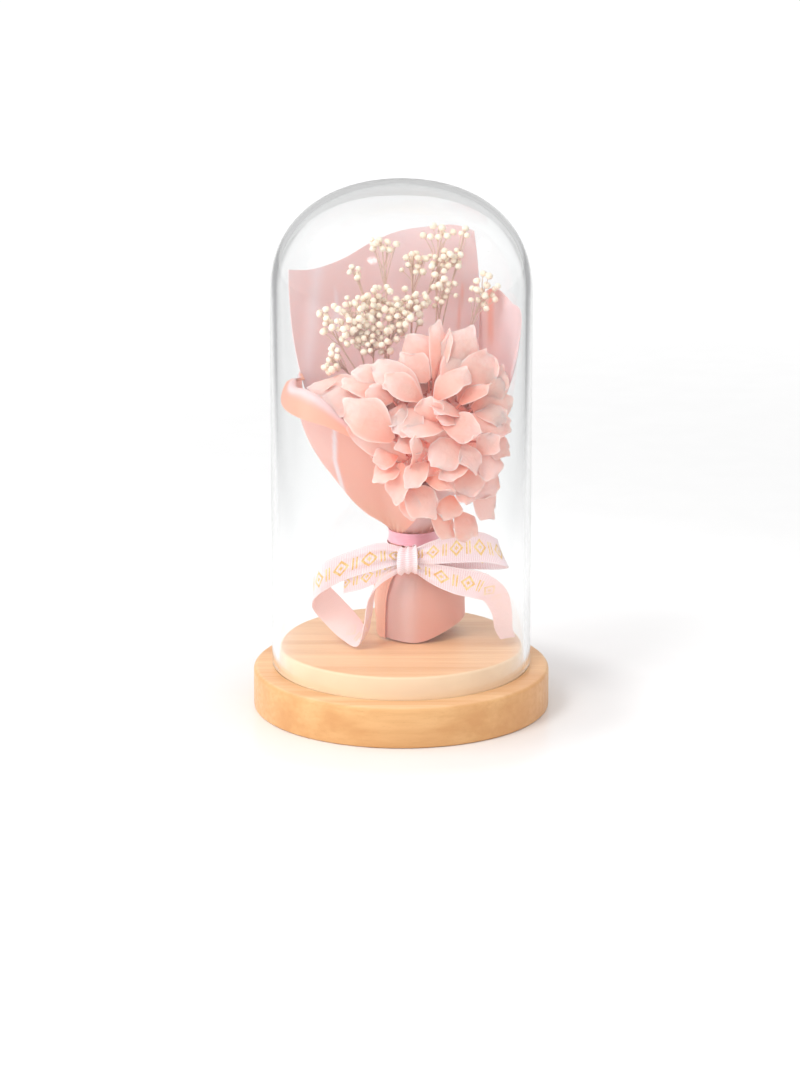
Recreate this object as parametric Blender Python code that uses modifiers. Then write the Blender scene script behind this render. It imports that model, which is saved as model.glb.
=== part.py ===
"""A preserved hydrangea bouquet standing on a turned wooden base under a glass dome.

Metres, +Z up, front towards -Y. The origin is the middle of the base's underside.
The dimensions below are in millimetres and are turned into metres where points are made.
"""

import math
import random

import bmesh
import bpy
from mathutils import Vector
from mathutils.bvhtree import BVHTree

MM = 0.001
CLEAR = 0.3

# Wooden base
BASE_RADIUS = 60.0
BASE_HEIGHT = 17.0
BASE_ROUND = 1.8
PLATEAU_RADIUS = 49.4
PLATEAU_TOP = 26.6
PLATEAU_ROUND = 1.0
TURN_STEPS = 32

# Glass dome
DOME_RADIUS = 52.5
DOME_WALL = 2.6
DOME_SPRING = 171.5
DOME_RISE = 44.8
DOME_POWER = 2.25
DOME_FOOT = BASE_HEIGHT + CLEAR

# The line of sight used to lay out the front of the flower head, in degrees above level
SIGHT_TILT = math.radians(14.83)
SIGHT_HEIGHT = 110.0

# Waist of the bouquet, where the ribbon ties it
WAIST = Vector((5.0, 8.0, 64.0))
WAIST_LOW = 58.8
WAIST_HIGH = 71.8
FLOOR = PLATEAU_TOP + CLEAR

FILM_THICK = 0.6
RIBBON_WIDTH = 11.8
RIBBON_THICK = 0.6
BAND_RADIUS = 10.2

# Flower head
HEAD_CORE = Vector((11.0, -5.0, 114.0))
HEAD_CORE_SIZE = (18.0, 11.5, 20.0)
LOW_ANCHOR = Vector((13.0, -21.0, 103.0))
PETAL_THICK = 0.7
STALK_RADIUS = 0.8

# Baby's breath
BUD_RADIUS = 1.5
TWIG_RADIUS = 0.42
SEED = 21

# Florets on the front of the head: the eye across and up, then for each petal its tip across
# and up, its width and how far the tip stands proud. Across and up are measured square to the
# line of sight, from the dome's axis at SIGHT_HEIGHT.
FRONT_FLORETS = [
    ((12, 27), [(1, 44, 17, 0), (16, 49, 13, -1), (5, 37, 10, 4)]),
    ((20, 26), [(30, 47, 15, -2), (27, 39, 12, 2)]),
    ((26, 15), [(37, 36, 14, 1), (38, 25, 9, 3), (41, 7, 12, 2)]),
    ((12, 18), [(28, 31, 10, 4), (-10, 33, 11, 2), (-6, 26, 11, 4)]),
    ((-14, 18), [(-23, 28, 11, 2), (-30, 24, 12, 0), (-36, 19, 13, 1)]),
    ((-1, 10), [(-23, 14, 16, 4), (-13, 20, 9, 3), (-19, 4, 13, 3)]),
    ((14, 8), [(-2, 15, 10, 2), (11, 18, 10, 4), (2, 4, 9, 3), (33, 4, 11, 4)]),
    ((36, 16), [(45, 13, 13, 0), (40, 30, 11, 2)]),
    ((3, -7), [(5, 3, 9, 3), (-11, -13, 10, 2), (-1, -24, 10, 3), (-9, -18, 9, 1)]),
    ((20, 0), [(18, -11, 15, 3), (28, -14, 13, 2), (8, -12, 12, 1)]),
    ((32, -1), [(39, 5, 11, 1), (44, -1, 13, 0)]),
    ((29, -14), [(41, -8, 15, 1), (40, -20, 14, 0), (34, -31, 13, 0), (24, -28, 12, 1)]),
    ((5, -17), [(22, -18, 12, 3), (13, -30, 13, 1)]),
    ((19, -25), [(19, -38, 10, 0), (27, -38, 11, -1)]),
]

# Baby's breath stems: where each one rises to, from the tie, and the sprays that branch from it.
# A spray is across, up, depth from the dome's axis, spread three ways, and its number of buds.
STEMS = [
    (
        (-12, 10, 128),
        [
            (-20, 50, 2, 9, 8, 6, 9),
            (-12, 42, 6, 9, 6, 7, 9),
            (-30, 50, 6, 3, 7, 3, 4),
            (-27, 34, 0, 3, 5, 3, 4),
        ],
    ),
    (
        (-5, 15, 138),
        [(-10, 54, 10, 9, 6, 7, 9), (-19, 69, 16, 3, 3, 3, 3), (-8, 79, 24, 5, 3, 3, 5)],
    ),
    (
        (4, 18, 145),
        [(3, 54, 14, 8, 6, 6, 7), (5, 73, 24, 6, 5, 4, 7), (17, 73, 24, 7, 4, 4, 6)],
    ),
    (
        (14, 20, 140),
        [(18, 60, 18, 4, 7, 4, 6), (15, 84, 28, 7, 3, 2, 5)],
    ),
    (
        (19, 15, 130),
        [(33, 60, 14, 5, 9, 4, 8)],
    ),
]


def clear_scene():
    """Removes every object of the startup scene."""
    for obj in list(bpy.data.objects):
        bpy.data.objects.remove(obj, do_unlink=True)


def new_collection(name):
    """A collection linked to the scene."""
    collection = bpy.data.collections.new(name)
    bpy.context.scene.collection.children.link(collection)
    return collection


def make_material(name, colour, roughness, alpha=1.0, transmission=0.0):
    """A plain Principled material."""
    material = bpy.data.materials.new(name)
    material.use_nodes = True
    shader = material.node_tree.nodes["Principled BSDF"]
    shader.inputs["Base Color"].default_value = (*colour, 1.0)
    shader.inputs["Roughness"].default_value = roughness
    shader.inputs["Metallic"].default_value = 0.0
    shader.inputs["Alpha"].default_value = alpha
    shader.inputs["Transmission Weight"].default_value = transmission
    return material


def add_object(name, bm, collection, material=None):
    """Turns a bmesh in millimetres into an object in metres."""
    bmesh.ops.scale(bm, vec=(MM, MM, MM), verts=bm.verts)
    mesh = bpy.data.meshes.new(name)
    bm.to_mesh(mesh)
    bm.free()
    obj = bpy.data.objects.new(name, mesh)
    collection.objects.link(obj)
    if material:
        mesh.materials.append(material)
    return obj


def smooth(points, t):
    """The point at t from 0 to 1 on a smooth curve through evenly spaced points or numbers."""
    last = len(points) - 1
    place = min(max(t, 0.0), 1.0) * last
    i = min(int(place), last - 1)
    f = place - i
    before = points[max(i - 1, 0)]
    start = points[i]
    end = points[i + 1]
    after = points[min(i + 2, last)]
    cubic = (start * 3 - before - end * 3 + after) * f**3
    square = (before * 2 - start * 5 + end * 4 - after) * f**2
    return (start * 2 + (end - before) * f + square + cubic) * 0.5


def sight_point(across, up, towards):
    """A point given square to the line of sight, turned into the object's own axes."""
    y = up * math.sin(SIGHT_TILT) - towards * math.cos(SIGHT_TILT)
    z = up * math.cos(SIGHT_TILT) + towards * math.sin(SIGHT_TILT)
    return Vector((across, y, SIGHT_HEIGHT + z))


# Turned pieces
def turned(name, profile, collection, material):
    """A solid of revolution from a profile of (radius, height) that runs down its outer side."""
    bm = bmesh.new()
    verts = [bm.verts.new((radius, 0.0, height)) for radius, height in profile]
    for first, second in zip(verts, verts[1:]):
        bm.edges.new((first, second))
    obj = add_object(name, bm, collection, material)
    screw = obj.modifiers.new("Turn", "SCREW")
    screw.axis = "Z"
    screw.steps = TURN_STEPS
    screw.render_steps = TURN_STEPS
    screw.use_merge_vertices = True
    screw.merge_threshold = 0.00001
    screw.use_smooth_shade = True
    return obj


def rounded_corner(radius_at, height_at, size, steps=3):
    """Points of a convex quarter round at an outer upper corner, from its top to its side."""
    points = []
    for i in range(steps + 1):
        angle = math.radians(90 - 90 * i / steps)
        points.append(
            (
                radius_at - size + size * math.cos(angle),
                height_at - size + size * math.sin(angle),
            )
        )
    return points


def build_base(collection, material):
    profile = [(0.0, PLATEAU_TOP)]
    profile += rounded_corner(PLATEAU_RADIUS, PLATEAU_TOP, PLATEAU_ROUND, 2)
    profile += [(PLATEAU_RADIUS, BASE_HEIGHT)]
    profile += rounded_corner(BASE_RADIUS, BASE_HEIGHT, BASE_ROUND, 3)
    profile += [(BASE_RADIUS, 1.2), (BASE_RADIUS - 1.2, 0.0), (0.0, 0.0)]
    return turned("wood_base", profile, collection, material)


def dome_outline(radius, rise, steps):
    """The dome's rounded cap from its apex down to the springing line."""
    points = []
    for i in range(steps + 1):
        angle = math.radians(90 - 90 * i / steps)
        out = math.cos(angle) ** (2 / DOME_POWER) if i else 0.0
        up = math.sin(angle) ** (2 / DOME_POWER) if i < steps else 0.0
        points.append((radius * out, DOME_SPRING + rise * up))
    return points


def build_dome(collection, material):
    inner_radius = DOME_RADIUS - DOME_WALL
    outside = dome_outline(DOME_RADIUS, DOME_RISE, 7)
    inside = dome_outline(inner_radius, DOME_RISE - DOME_WALL, 7)
    middle = DOME_RADIUS - DOME_WALL / 2
    foot = [
        (DOME_RADIUS, DOME_FOOT + 0.8),
        (middle + 0.6, DOME_FOOT),
        (middle - 0.6, DOME_FOOT),
        (inner_radius, DOME_FOOT + 0.8),
    ]
    return turned("glass_dome", outside + foot + inside[::-1], collection, material)


# Wrapping film
def film(hem, waist_from, waist_to, waist_radius, top, bulge, fullness, lip=None):
    """One sheet: its hem, its arc at the waist, its top edge and how it swells between them."""
    return {
        "hem": [Vector(point) for point in hem],
        "from": waist_from,
        "to": waist_to,
        "radius": waist_radius,
        "top": [Vector(point) for point in top],
        "bulge": bulge,
        "fullness": fullness,
        "lip": lip,
    }


def film_waist(sheet, across):
    angle = math.radians(sheet["from"] + (sheet["to"] - sheet["from"]) * across)
    out = Vector((math.cos(angle), math.sin(angle), 0.0))
    return WAIST + out * sheet["radius"], out


def film_skirt(sheet, across, drop):
    """Below the waist: drop is 0 at the tie and 1 at the hem."""
    start, _ = film_waist(sheet, across)
    end = smooth(sheet["hem"], across)
    spread = 1 - (1 - drop) ** 4
    point = start.lerp(end, spread)
    point.z = WAIST_LOW + (end.z - WAIST_LOW) * drop
    return point


def film_wall(sheet, across, rise):
    """Above the waist: rise is 0 at the tie and 1 at the top edge."""
    start, out = film_waist(sheet, across)
    end = smooth(sheet["top"], across)
    spread = 1 - (1 - rise) ** smooth(sheet["fullness"], across)
    point = start.lerp(end, spread)
    point += out * smooth(sheet["bulge"], across) * math.sin(math.pi * rise)
    point.z = WAIST_HIGH + (end.z - WAIST_HIGH) * rise
    return point


def film_lip(sheet, across, turn):
    """The outward curl of the top edge: turn is the angle rolled through, in radians."""
    edge = film_wall(sheet, across, 1.0)
    rise = (edge - film_wall(sheet, across, 0.97)).normalized()
    before = film_wall(sheet, max(across - 0.02, 0.0), 1.0)
    after = film_wall(sheet, min(across + 0.02, 1.0), 1.0)
    out = (after - before).cross(rise).normalized()
    if out.y > 0:
        out = -out
    radius = smooth(sheet["lip"], across)
    return edge + out * radius * (1 - math.cos(turn)) + rise * radius * math.sin(turn)


def film_rows(sheet):
    """The rows of the sheet from hem to top edge, as functions of the place across it."""
    rows = [(film_skirt, drop) for drop in (1.0, 0.62, 0.34, 0.14, 0.0)]
    rows += [(film_wall, rise) for rise in (0.0, 0.07, 0.16, 0.27, 0.4, 0.55, 0.7, 0.85, 1.0)]
    if sheet["lip"]:
        rows += [(film_lip, math.radians(turn)) for turn in (55, 110)]
    return rows


def grid_object(name, across, along, place, thick, collection, material=None):
    """A grid shaped by place(u, v) in millimetres, split into triangles and given a thickness."""
    bm = bmesh.new()
    bmesh.ops.create_grid(bm, x_segments=across, y_segments=along, size=1.0)
    for vert in bm.verts:
        vert.co = place((vert.co.x + 1) / 2, (vert.co.y + 1) / 2)
    bmesh.ops.triangulate(bm, faces=bm.faces, quad_method="FIXED")
    obj = add_object(name, bm, collection, material)
    shell = obj.modifiers.new("Thickness", "SOLIDIFY")
    shell.thickness = thick * MM
    shell.offset = 0.0
    return obj


def build_film(name, sheet, columns, collection, material):
    rows = film_rows(sheet)
    last = len(rows) - 1

    def place(u, v):
        kind, amount = rows[round(v * last)]
        return kind(sheet, u, amount)

    return grid_object(name, columns, last, place, FILM_THICK, collection, material)


def make_films():
    back = film(
        hem=[(18.5, 17, 28), (14, 24, 27.5), (5, 25.5, 27.5), (-2.5, 21, 27.5), (-5, 12, 28)],
        waist_from=15,
        waist_to=200,
        waist_radius=6.9,
        top=[
            (29.8, 31, 191),
            (22, 36, 192.5),
            (13, 38.5, 191.5),
            (0, 39, 189.5),
            (-12, 37, 185),
            (-24, 31, 179),
            (-36, 22.5, 176.5),
            (-46, 12.5, 178.5),
        ],
        bulge=[5.0, 3.0, 1.0, 0.0, 0.0, 0.0, 0.5, 0.5],
        fullness=[1.9, 2.0, 2.0, 2.0, 2.0, 2.0, 2.0, 2.0],
    )
    right = film(
        hem=[
            (12, 30, 28.5),
            (21, 26, 30.5),
            (26, 16, 34),
            (23.5, 6, 33),
            (16, -1, 30),
            (8, -3.6, FLOOR + 0.4),
            (1, -3.2, FLOOR + 0.4),
            (-6.5, 2.5, FLOOR + 0.6),
        ],
        waist_from=80,
        waist_to=-135,
        waist_radius=8.2,
        top=[
            (29, 37, 158),
            (37.5, 21, 169),
            (45, 9, 165.5),
            (48.0, -1.5, 162.5),
            (44.8, -1.5, 139),
            (35, -1.5, 116.5),
            (24, -7, 100),
            (12, -15, 93.5),
            (4, -11, 86.5),
            (-0.8, -0.8, 78),
        ],
        bulge=[5.0, 4.0, 1.5, 0.0, 0.0, 0.0, 0.0, 0.0, 0.0, 0.0],
        fullness=[2.0, 2.0, 1.8, 1.5, 1.2, 1.0, 1.0, 1.1, 1.2, 1.3],
    )
    front = film(
        hem=[(-12.5, 22, 30.5), (-11.5, 13, 28), (-9.2, 5, FLOOR + 0.5), (-6.5, 0.5, FLOOR + 0.5)],
        waist_from=125,
        waist_to=238,
        waist_radius=9.1,
        top=[
            (-38.5, 22, 141.5),
            (-46.6, -7, 133.5),
            (-38.5, -14, 129.5),
            (-28, -16, 120),
            (-18, -17, 115),
            (-8, -18, 110),
            (1, -19, 101),
            (9.5, -20, 90.5),
        ],
        bulge=[2.0, 2.0, 1.0, 0.0, 0.0, 0.0, 0.0, 0.0],
        fullness=[1.4, 1.4, 1.3, 1.3, 1.3, 1.3, 1.3, 1.3],
        lip=[0.6, 0.8, 2.2, 3.4, 2.4, 1.6, 1.2, 1.0],
    )
    return back, right, front


# Fusing repeats
def evaluated_mesh(obj):
    graph = bpy.context.evaluated_depsgraph_get()
    return bpy.data.meshes.new_from_object(obj.evaluated_get(graph))


def largest_body(mesh):
    """Keeps the largest closed body of a mesh: scraps and sealed hollows go."""
    bm = bmesh.new()
    bm.from_mesh(mesh)
    bm.faces.ensure_lookup_table()
    unseen = set(bm.faces)
    bodies = []
    while unseen:
        stack = [unseen.pop()]
        body = set(stack)
        while stack:
            for edge in stack.pop().edges:
                for face in edge.link_faces:
                    if face in unseen:
                        unseen.discard(face)
                        body.add(face)
                        stack.append(face)
        bodies.append(body)
    bodies.sort(key=len, reverse=True)
    scraps = [face for body in bodies[1:] for face in body]
    bmesh.ops.delete(bm, geom=scraps, context="FACES")
    bm.to_mesh(mesh)
    bm.free()


def fuse(name, pieces, collection, material):
    """One Boolean union of every object in a collection, applied, with those objects removed."""
    first = pieces.objects[0]
    pieces.objects.unlink(first)
    collection.objects.link(first)
    union = first.modifiers.new("Fuse", "BOOLEAN")
    union.operation = "UNION"
    union.operand_type = "COLLECTION"
    union.collection = pieces
    union.solver = "MANIFOLD"
    bpy.context.view_layer.update()
    mesh = evaluated_mesh(first)
    bpy.data.objects.remove(first, do_unlink=True)
    for obj in list(pieces.objects):
        bpy.data.objects.remove(obj, do_unlink=True)
    bpy.data.collections.remove(pieces)
    largest_body(mesh)
    mesh.name = name
    mesh.materials.clear()
    mesh.materials.append(material)
    obj = bpy.data.objects.new(name, mesh)
    collection.objects.link(obj)
    return obj


def add_rod(name, start, end, radius, pieces, sides=3):
    """A straight rod between two points, made from a cone primitive."""
    axis = end - start
    bm = bmesh.new()
    bmesh.ops.create_cone(
        bm, cap_ends=True, segments=sides, radius1=radius, radius2=radius, depth=axis.length
    )
    bmesh.ops.triangulate(bm, faces=bm.faces)
    turn = axis.to_track_quat("Z", "Y").to_matrix().to_4x4()
    bmesh.ops.transform(bm, matrix=turn, verts=bm.verts)
    bmesh.ops.translate(bm, vec=(start + end) / 2, verts=bm.verts)
    return add_object(name, bm, pieces)


def add_ball(name, centre, size, pieces, rings=3, sides=5):
    bm = bmesh.new()
    bmesh.ops.create_uvsphere(bm, u_segments=sides, v_segments=rings, radius=1.0)
    bmesh.ops.triangulate(bm, faces=bm.faces)
    bmesh.ops.scale(bm, vec=size, verts=bm.verts)
    bmesh.ops.translate(bm, vec=centre, verts=bm.verts)
    return add_object(name, bm, pieces)


def add_stem(name, points, radius, pieces, sides=6):
    """Rods end to end, each starting a little inside the one before."""
    for i, (start, end) in enumerate(zip(points, points[1:])):
        reach = (end - start).normalized() * radius * 0.8
        add_rod(f"{name}_{i}", start - reach if i else start, end, radius, pieces, sides)


# Hydrangea head
def head_front(across, up):
    """How far the front of the head stands towards the viewer at a place square to the sight."""
    inside = 1 - ((across - 3) / 46) ** 2 - (up / 42) ** 2
    return 3 + 27 * math.sqrt(max(inside, 0.05))


def petal_width(u):
    """Half the width of a petal along its length, from the claw to the blunt tip."""
    if u < 0.6:
        return 0.28 + 0.72 * math.sin(math.pi / 2 * u / 0.6)
    return 0.6 + 0.4 * math.cos(math.pi / 2 * (u - 0.6) / 0.4)


def add_petal(name, root, tip, width, facing, arch, dish, pieces, across=2):
    """A thin petal from its root to its tip, arched along its length and dished across it."""
    length = (tip - root).length
    along = (tip - root).normalized()
    normal = (facing - along * facing.dot(along)).normalized()
    side = along.cross(normal)

    def place(v, u):
        edge = 2 * v - 1
        half = width / 2 * petal_width(u)
        reach = length * u * (1 - 0.26 * edge * edge * u)
        bow = arch * length * math.sin(math.pi * min(u, 0.9)) + dish * half * edge * edge * u
        return root + along * reach + side * edge * half + normal * bow

    return grid_object(name, across, 3, place, PETAL_THICK, pieces)


def add_front_florets(pieces, rng):
    """The florets seen from the front: an eye on its own stalk, and petals from the eye."""
    for i, ((eye_a, eye_b), petals) in enumerate(FRONT_FLORETS):
        eye = sight_point(eye_a, eye_b, head_front(eye_a, eye_b) - 5)
        anchor = LOW_ANCHOR if eye_b < -10 else HEAD_CORE
        add_rod(f"stalk_{i}", anchor, eye, STALK_RADIUS, pieces)
        add_ball(f"eye_{i}", eye, (1.9, 1.9, 1.9), pieces)
        for k, (tip_a, tip_b, width, proud) in enumerate(petals):
            tip = sight_point(tip_a, tip_b, head_front(tip_a, tip_b) + proud)
            outward = ((eye + tip) / 2 - HEAD_CORE).normalized()
            facing = outward + Vector((0.0, -0.45, 0.35))
            facing += Vector([rng.uniform(-0.3, 0.3) for _ in range(3)])
            arch = rng.uniform(0.03, 0.1)
            dish = rng.uniform(0.05, 0.25)
            columns = 2 if width > 11 else 1
            add_petal(f"front_{i}_{k}", eye, tip, width, facing, arch, dish, pieces, columns)


def add_floret(name, centre, outward, size, turn, pieces, rng):
    """A four-petalled floret on its stalk."""
    side = outward.orthogonal().normalized()
    other = outward.cross(side)
    for k in range(4):
        angle = turn + math.pi / 2 * k + rng.uniform(-0.15, 0.15)
        spoke = side * math.cos(angle) + other * math.sin(angle)
        tip = centre + spoke * size + outward * size * rng.uniform(0.1, 0.4)
        add_petal(f"{name}_{k}", centre, tip, size * 0.95, outward, 0.06, 0.1, pieces, 1)
    add_rod(f"{name}_stalk", HEAD_CORE, centre + outward, STALK_RADIUS, pieces)


def add_filler_florets(pieces, rng):
    """Florets behind the front petals: deeper in, and round the sides, top and back."""
    places = [(8, 38, 2), (26, 32, 4), (0, 5, 18), (32, 6, 12)]
    places += [(20, -8, 17), (36, -10, 5), (-24, 18, 10), (12, 18, 18), (17, -20, 16)]
    for i, (across, up, towards) in enumerate(places):
        centre = sight_point(across, up, towards)
        outward = (centre - HEAD_CORE).normalized()
        size = rng.uniform(9.5, 11.5)
        add_floret(f"filler_{i}", centre, outward, size, rng.uniform(0, math.pi), pieces, rng)


def build_head(collection, material):
    rng = random.Random(SEED)
    pieces = new_collection("hydrangea_pieces")
    add_ball("core", HEAD_CORE, HEAD_CORE_SIZE, pieces, 6, 10)
    add_rod("low_branch", HEAD_CORE, LOW_ANCHOR, 1.4, pieces, 5)
    add_ball("low_joint", LOW_ANCHOR, (3.0, 3.0, 3.0), pieces, 4, 6)
    stem = [(6.5, 2.0, 84.0), (4.5, 5.5, 68.0), (4.8, 6.5, FLOOR)]
    add_stem("stem", [HEAD_CORE] + [Vector(point) for point in stem], 2.0, pieces)
    add_front_florets(pieces, rng)
    add_filler_florets(pieces, rng)
    return fuse("hydrangea_head", pieces, collection, material)


# Baby's breath
def tree_of(obj):
    mesh = evaluated_mesh(obj)
    points = [Vector(vert.co) / MM for vert in mesh.vertices]
    faces = [tuple(face.vertices) for face in mesh.polygons]
    bpy.data.meshes.remove(mesh)
    return BVHTree.FromPolygons(points, faces)


def clear_of(trees, start, end, margin):
    """True where the straight line from start to end keeps its distance from every tree."""
    steps = max(2, int((end - start).length / 1.5))
    for i in range(steps + 1):
        point = start.lerp(end, i / steps)
        for tree in trees:
            found = tree.find_nearest(point, margin + 0.01)
            if found[3] is not None and found[3] < margin:
                return False
    return True


def inside_dome(point, margin):
    """True where a point is clear of the dome's inner wall."""
    radius = DOME_RADIUS - DOME_WALL - margin
    out = math.hypot(point.x, point.y)
    if point.z <= DOME_SPRING:
        return out < radius
    up = (point.z - DOME_SPRING) / (DOME_RISE - DOME_WALL - margin)
    return up < 1 and (out / radius) ** DOME_POWER + up**DOME_POWER < 1


def spray_middle(spray):
    across, up, back = spray[:3]
    rise = (up - back * math.sin(SIGHT_TILT)) / math.cos(SIGHT_TILT)
    return Vector((across, back, SIGHT_HEIGHT + rise))


def add_bud(name, start, centre, size, pieces, sides=4):
    """A bud in one piece with its twig: a turned profile from the twig's start to the bud's tip."""
    axis = centre - start
    reach = axis.length
    neck = reach - size * 0.85
    profile = [(0.0, reach + size), (size, reach), (TWIG_RADIUS, neck), (TWIG_RADIUS, 0.0)]
    bm = bmesh.new()
    verts = [bm.verts.new((radius, 0.0, height)) for radius, height in profile]
    verts.append(bm.verts.new((0.0, 0.0, 0.0)))
    edges = [bm.edges.new(pair) for pair in zip(verts, verts[1:])]
    bmesh.ops.spin(
        bm,
        geom=verts + edges,
        cent=(0.0, 0.0, 0.0),
        axis=(0.0, 0.0, 1.0),
        angle=math.tau,
        steps=sides,
    )
    bmesh.ops.remove_doubles(bm, verts=bm.verts, dist=0.01)
    bmesh.ops.recalc_face_normals(bm, faces=bm.faces)
    bmesh.ops.triangulate(bm, faces=bm.faces)
    turn = axis.to_track_quat("Z", "Y").to_matrix().to_4x4()
    bmesh.ops.transform(bm, matrix=turn, verts=bm.verts)
    bmesh.ops.translate(bm, vec=start, verts=bm.verts)
    return add_object(name, bm, pieces)


def add_spray(name, hub, spray, trees, placed, pieces, rng):
    """One spray: a stalk through it from its stem's top, then a twig from the stalk to each bud."""
    wide, tall, deep, buds = spray[3:]
    middle = spray_middle(spray)
    stalk_top = middle + (middle - hub).normalized() * tall * 0.5
    add_rod(f"{name}_stalk", hub, stalk_top, 0.5, pieces)
    made = 0
    for _ in range(buds * 40):
        if made == buds:
            break
        bud = middle + Vector([rng.uniform(-half, half) for half in (wide, deep, tall)])
        share = 0.55 + 0.42 * (made + 0.5) / buds
        start = hub.lerp(stalk_top, share) - (bud - hub).normalized() * 0.3
        if not inside_dome(bud, BUD_RADIUS + 1.2):
            continue
        if not clear_of(trees, start, bud, TWIG_RADIUS + 0.6):
            continue
        if not clear_of(trees, bud, bud, BUD_RADIUS + 0.5):
            continue
        if any((bud - other).length < BUD_RADIUS * 2 for other in placed):
            continue
        placed.append(bud)
        size = BUD_RADIUS * rng.uniform(0.9, 1.15)
        add_bud(f"{name}_{made}", start, bud, size, pieces)
        made += 1


def build_babys_breath(collection, material, neighbours):
    rng = random.Random(SEED + 1)
    pieces = new_collection("babys_breath_pieces")
    foot = [Vector((6.0, 12.0, 74.0)), Vector((6.0, 12.0, 58.0)), Vector((7.5, 14.0, FLOOR))]
    add_stem("bundle", foot, 1.5, pieces)
    trees = [tree_of(obj) for obj in neighbours]
    placed = []
    for index, (hub, sprays) in enumerate(STEMS):
        angle = math.radians(72 * index)
        start = foot[0] + Vector((math.cos(angle), math.sin(angle), -1.5)) * 0.8
        top = Vector(hub)
        knee = start.lerp(top, 0.45) + Vector((0.0, 3.5, 0.0))
        add_stem(f"stem_{index}", [start, knee, top], 0.6, pieces, 3)
        for number, spray in enumerate(sprays):
            add_spray(f"spray_{index}_{number}", top, spray, trees, placed, pieces, rng)
    return fuse("babys_breath", pieces, collection, material)


# Ribbon
def add_strand(name, path, widths, steps, pieces, width=RIBBON_WIDTH):
    """A length of ribbon along a smooth path; widths are the directions across it."""
    points = [Vector(point) for point in path]
    acrosses = [Vector(direction) for direction in widths]

    def place(v, u):
        across = smooth(acrosses, u).normalized()
        return smooth(points, u) + across * width * (v - 0.5)

    return grid_object(name, 1, steps, place, RIBBON_THICK, pieces)


def add_band(pieces):
    """The turn of ribbon round the waist, its ends meeting inside the knot."""

    def place(v, u):
        angle = math.radians(-92 + 352 * u)
        out = Vector((math.cos(angle), math.sin(angle), 0.0))
        return WAIST + out * BAND_RADIUS + Vector((0, 0, 1.5 + RIBBON_WIDTH * (v - 0.5)))

    return grid_object("band", 1, 18, place, RIBBON_THICK, pieces)


def build_ribbon(collection, material):
    pieces = new_collection("ribbon_pieces")
    add_band(pieces)
    knot = Vector((2.6, -4.2, 63.5))
    add_ball("knot", knot, (5.2, 2.6, 5.4), pieces, 6, 10)
    left = [
        (3, -5.5, 64),
        (-8, -7.5, 64.5),
        (-20, -9.5, 61.5),
        (-31, -10.5, 56.5),
        (-35.5, -7.0, 52),
        (-32.5, -3.0, 47),
        (-26.5, -2.0, 40),
        (-20.5, -3.6, 33.5),
        (-15.5, -7.0, 30.0),
        (-13.2, -9.0, 39),
        (-11.5, -8.5, 49),
        (-7.5, -7.2, 57),
        (2, -5.5, 61),
    ]
    left_across = [
        (0.1, -0.1, 0.9),
        (0.0, -0.1, 1.0),
        (0.1, -0.1, 1.0),
        (0.0, -0.1, 1.0),
        (0.05, 0.1, 1.0),
        (0.45, 0.1, 0.85),
        (0.7, 0.1, 0.65),
        (0.55, 0.5, 0.5),
        (0.35, 0.9, 0.25),
        (0.25, 0.95, 0.1),
        (0.25, 0.9, 0.15),
        (0.15, 0.6, 0.6),
        (0.1, 0.1, 0.9),
    ]
    add_strand("left_loop", left, left_across, 22, pieces)
    right = [
        (3, -5.5, 64),
        (14, -8.5, 66.5),
        (24, -10, 68),
        (33, -10, 67.8),
        (39.5, -8, 65),
        (38, -4.5, 63),
        (28, -3.8, 63.5),
        (16, -4.8, 63.5),
        (4, -5.0, 62.5),
    ]
    right_across = [
        (0.1, -0.1, 0.9),
        (0.1, 0.0, 1.0),
        (0.0, 0.0, 1.0),
        (-0.15, 0.0, 1.0),
        (-0.35, 0.0, 0.95),
        (-0.25, 0.0, 0.95),
        (0.0, 0.0, 1.0),
        (0.0, 0.0, 1.0),
        (0.1, -0.1, 0.9),
    ]
    add_strand("right_loop", right, right_across, 16, pieces)
    tail = [
        (3, -5.0, 61.5),
        (13, -6.5, 57.5),
        (23, -7.0, 55),
        (32, -7.0, 52.5),
        (38, -6.5, 48),
        (41, -6.0, 40),
        (42, -6.0, 33.5),
        (45.5, -5.5, 29.3),
    ]
    tail_across = [
        (0.1, -0.1, 0.9),
        (0.0, -0.1, 1.0),
        (0.1, -0.1, 1.0),
        (0.35, -0.1, 0.95),
        (0.85, 0.0, 0.5),
        (0.9, 0.45, 0.0),
        (0.8, 0.6, -0.1),
        (0.5, 0.85, 0.0),
    ]
    add_strand("tail", tail, tail_across, 12, pieces, 9.0)
    return fuse("ribbon_bow", pieces, collection, material)


def main():
    clear_scene()
    parts = new_collection("hydrangea_dome")
    wood = make_material("wood", (0.78, 0.53, 0.29), 0.5)
    glass = make_material("glass", (0.97, 0.98, 0.98), 0.02, 0.2, 1.0)
    petals = make_material("petals", (0.87, 0.45, 0.38), 0.65)
    buds = make_material("buds", (0.87, 0.76, 0.62), 0.75)
    film_dusty = make_material("film_dusty", (0.78, 0.45, 0.42), 0.4)
    film_salmon = make_material("film_salmon", (0.86, 0.42, 0.34), 0.4)
    ribbon = make_material("ribbon", (0.88, 0.68, 0.70), 0.6)

    build_base(parts, wood)
    build_dome(parts, glass)
    back, right, front = make_films()
    film_back = build_film("film_back", back, 10, parts, film_dusty)
    film_right = build_film("film_right", right, 12, parts, film_salmon)
    film_front = build_film("film_front", front, 9, parts, film_salmon)
    head = build_head(parts, petals)
    build_babys_breath(parts, buds, [head, film_back, film_right, film_front])
    build_ribbon(parts, ribbon)


if __name__ == "__main__":
    main()
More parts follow.
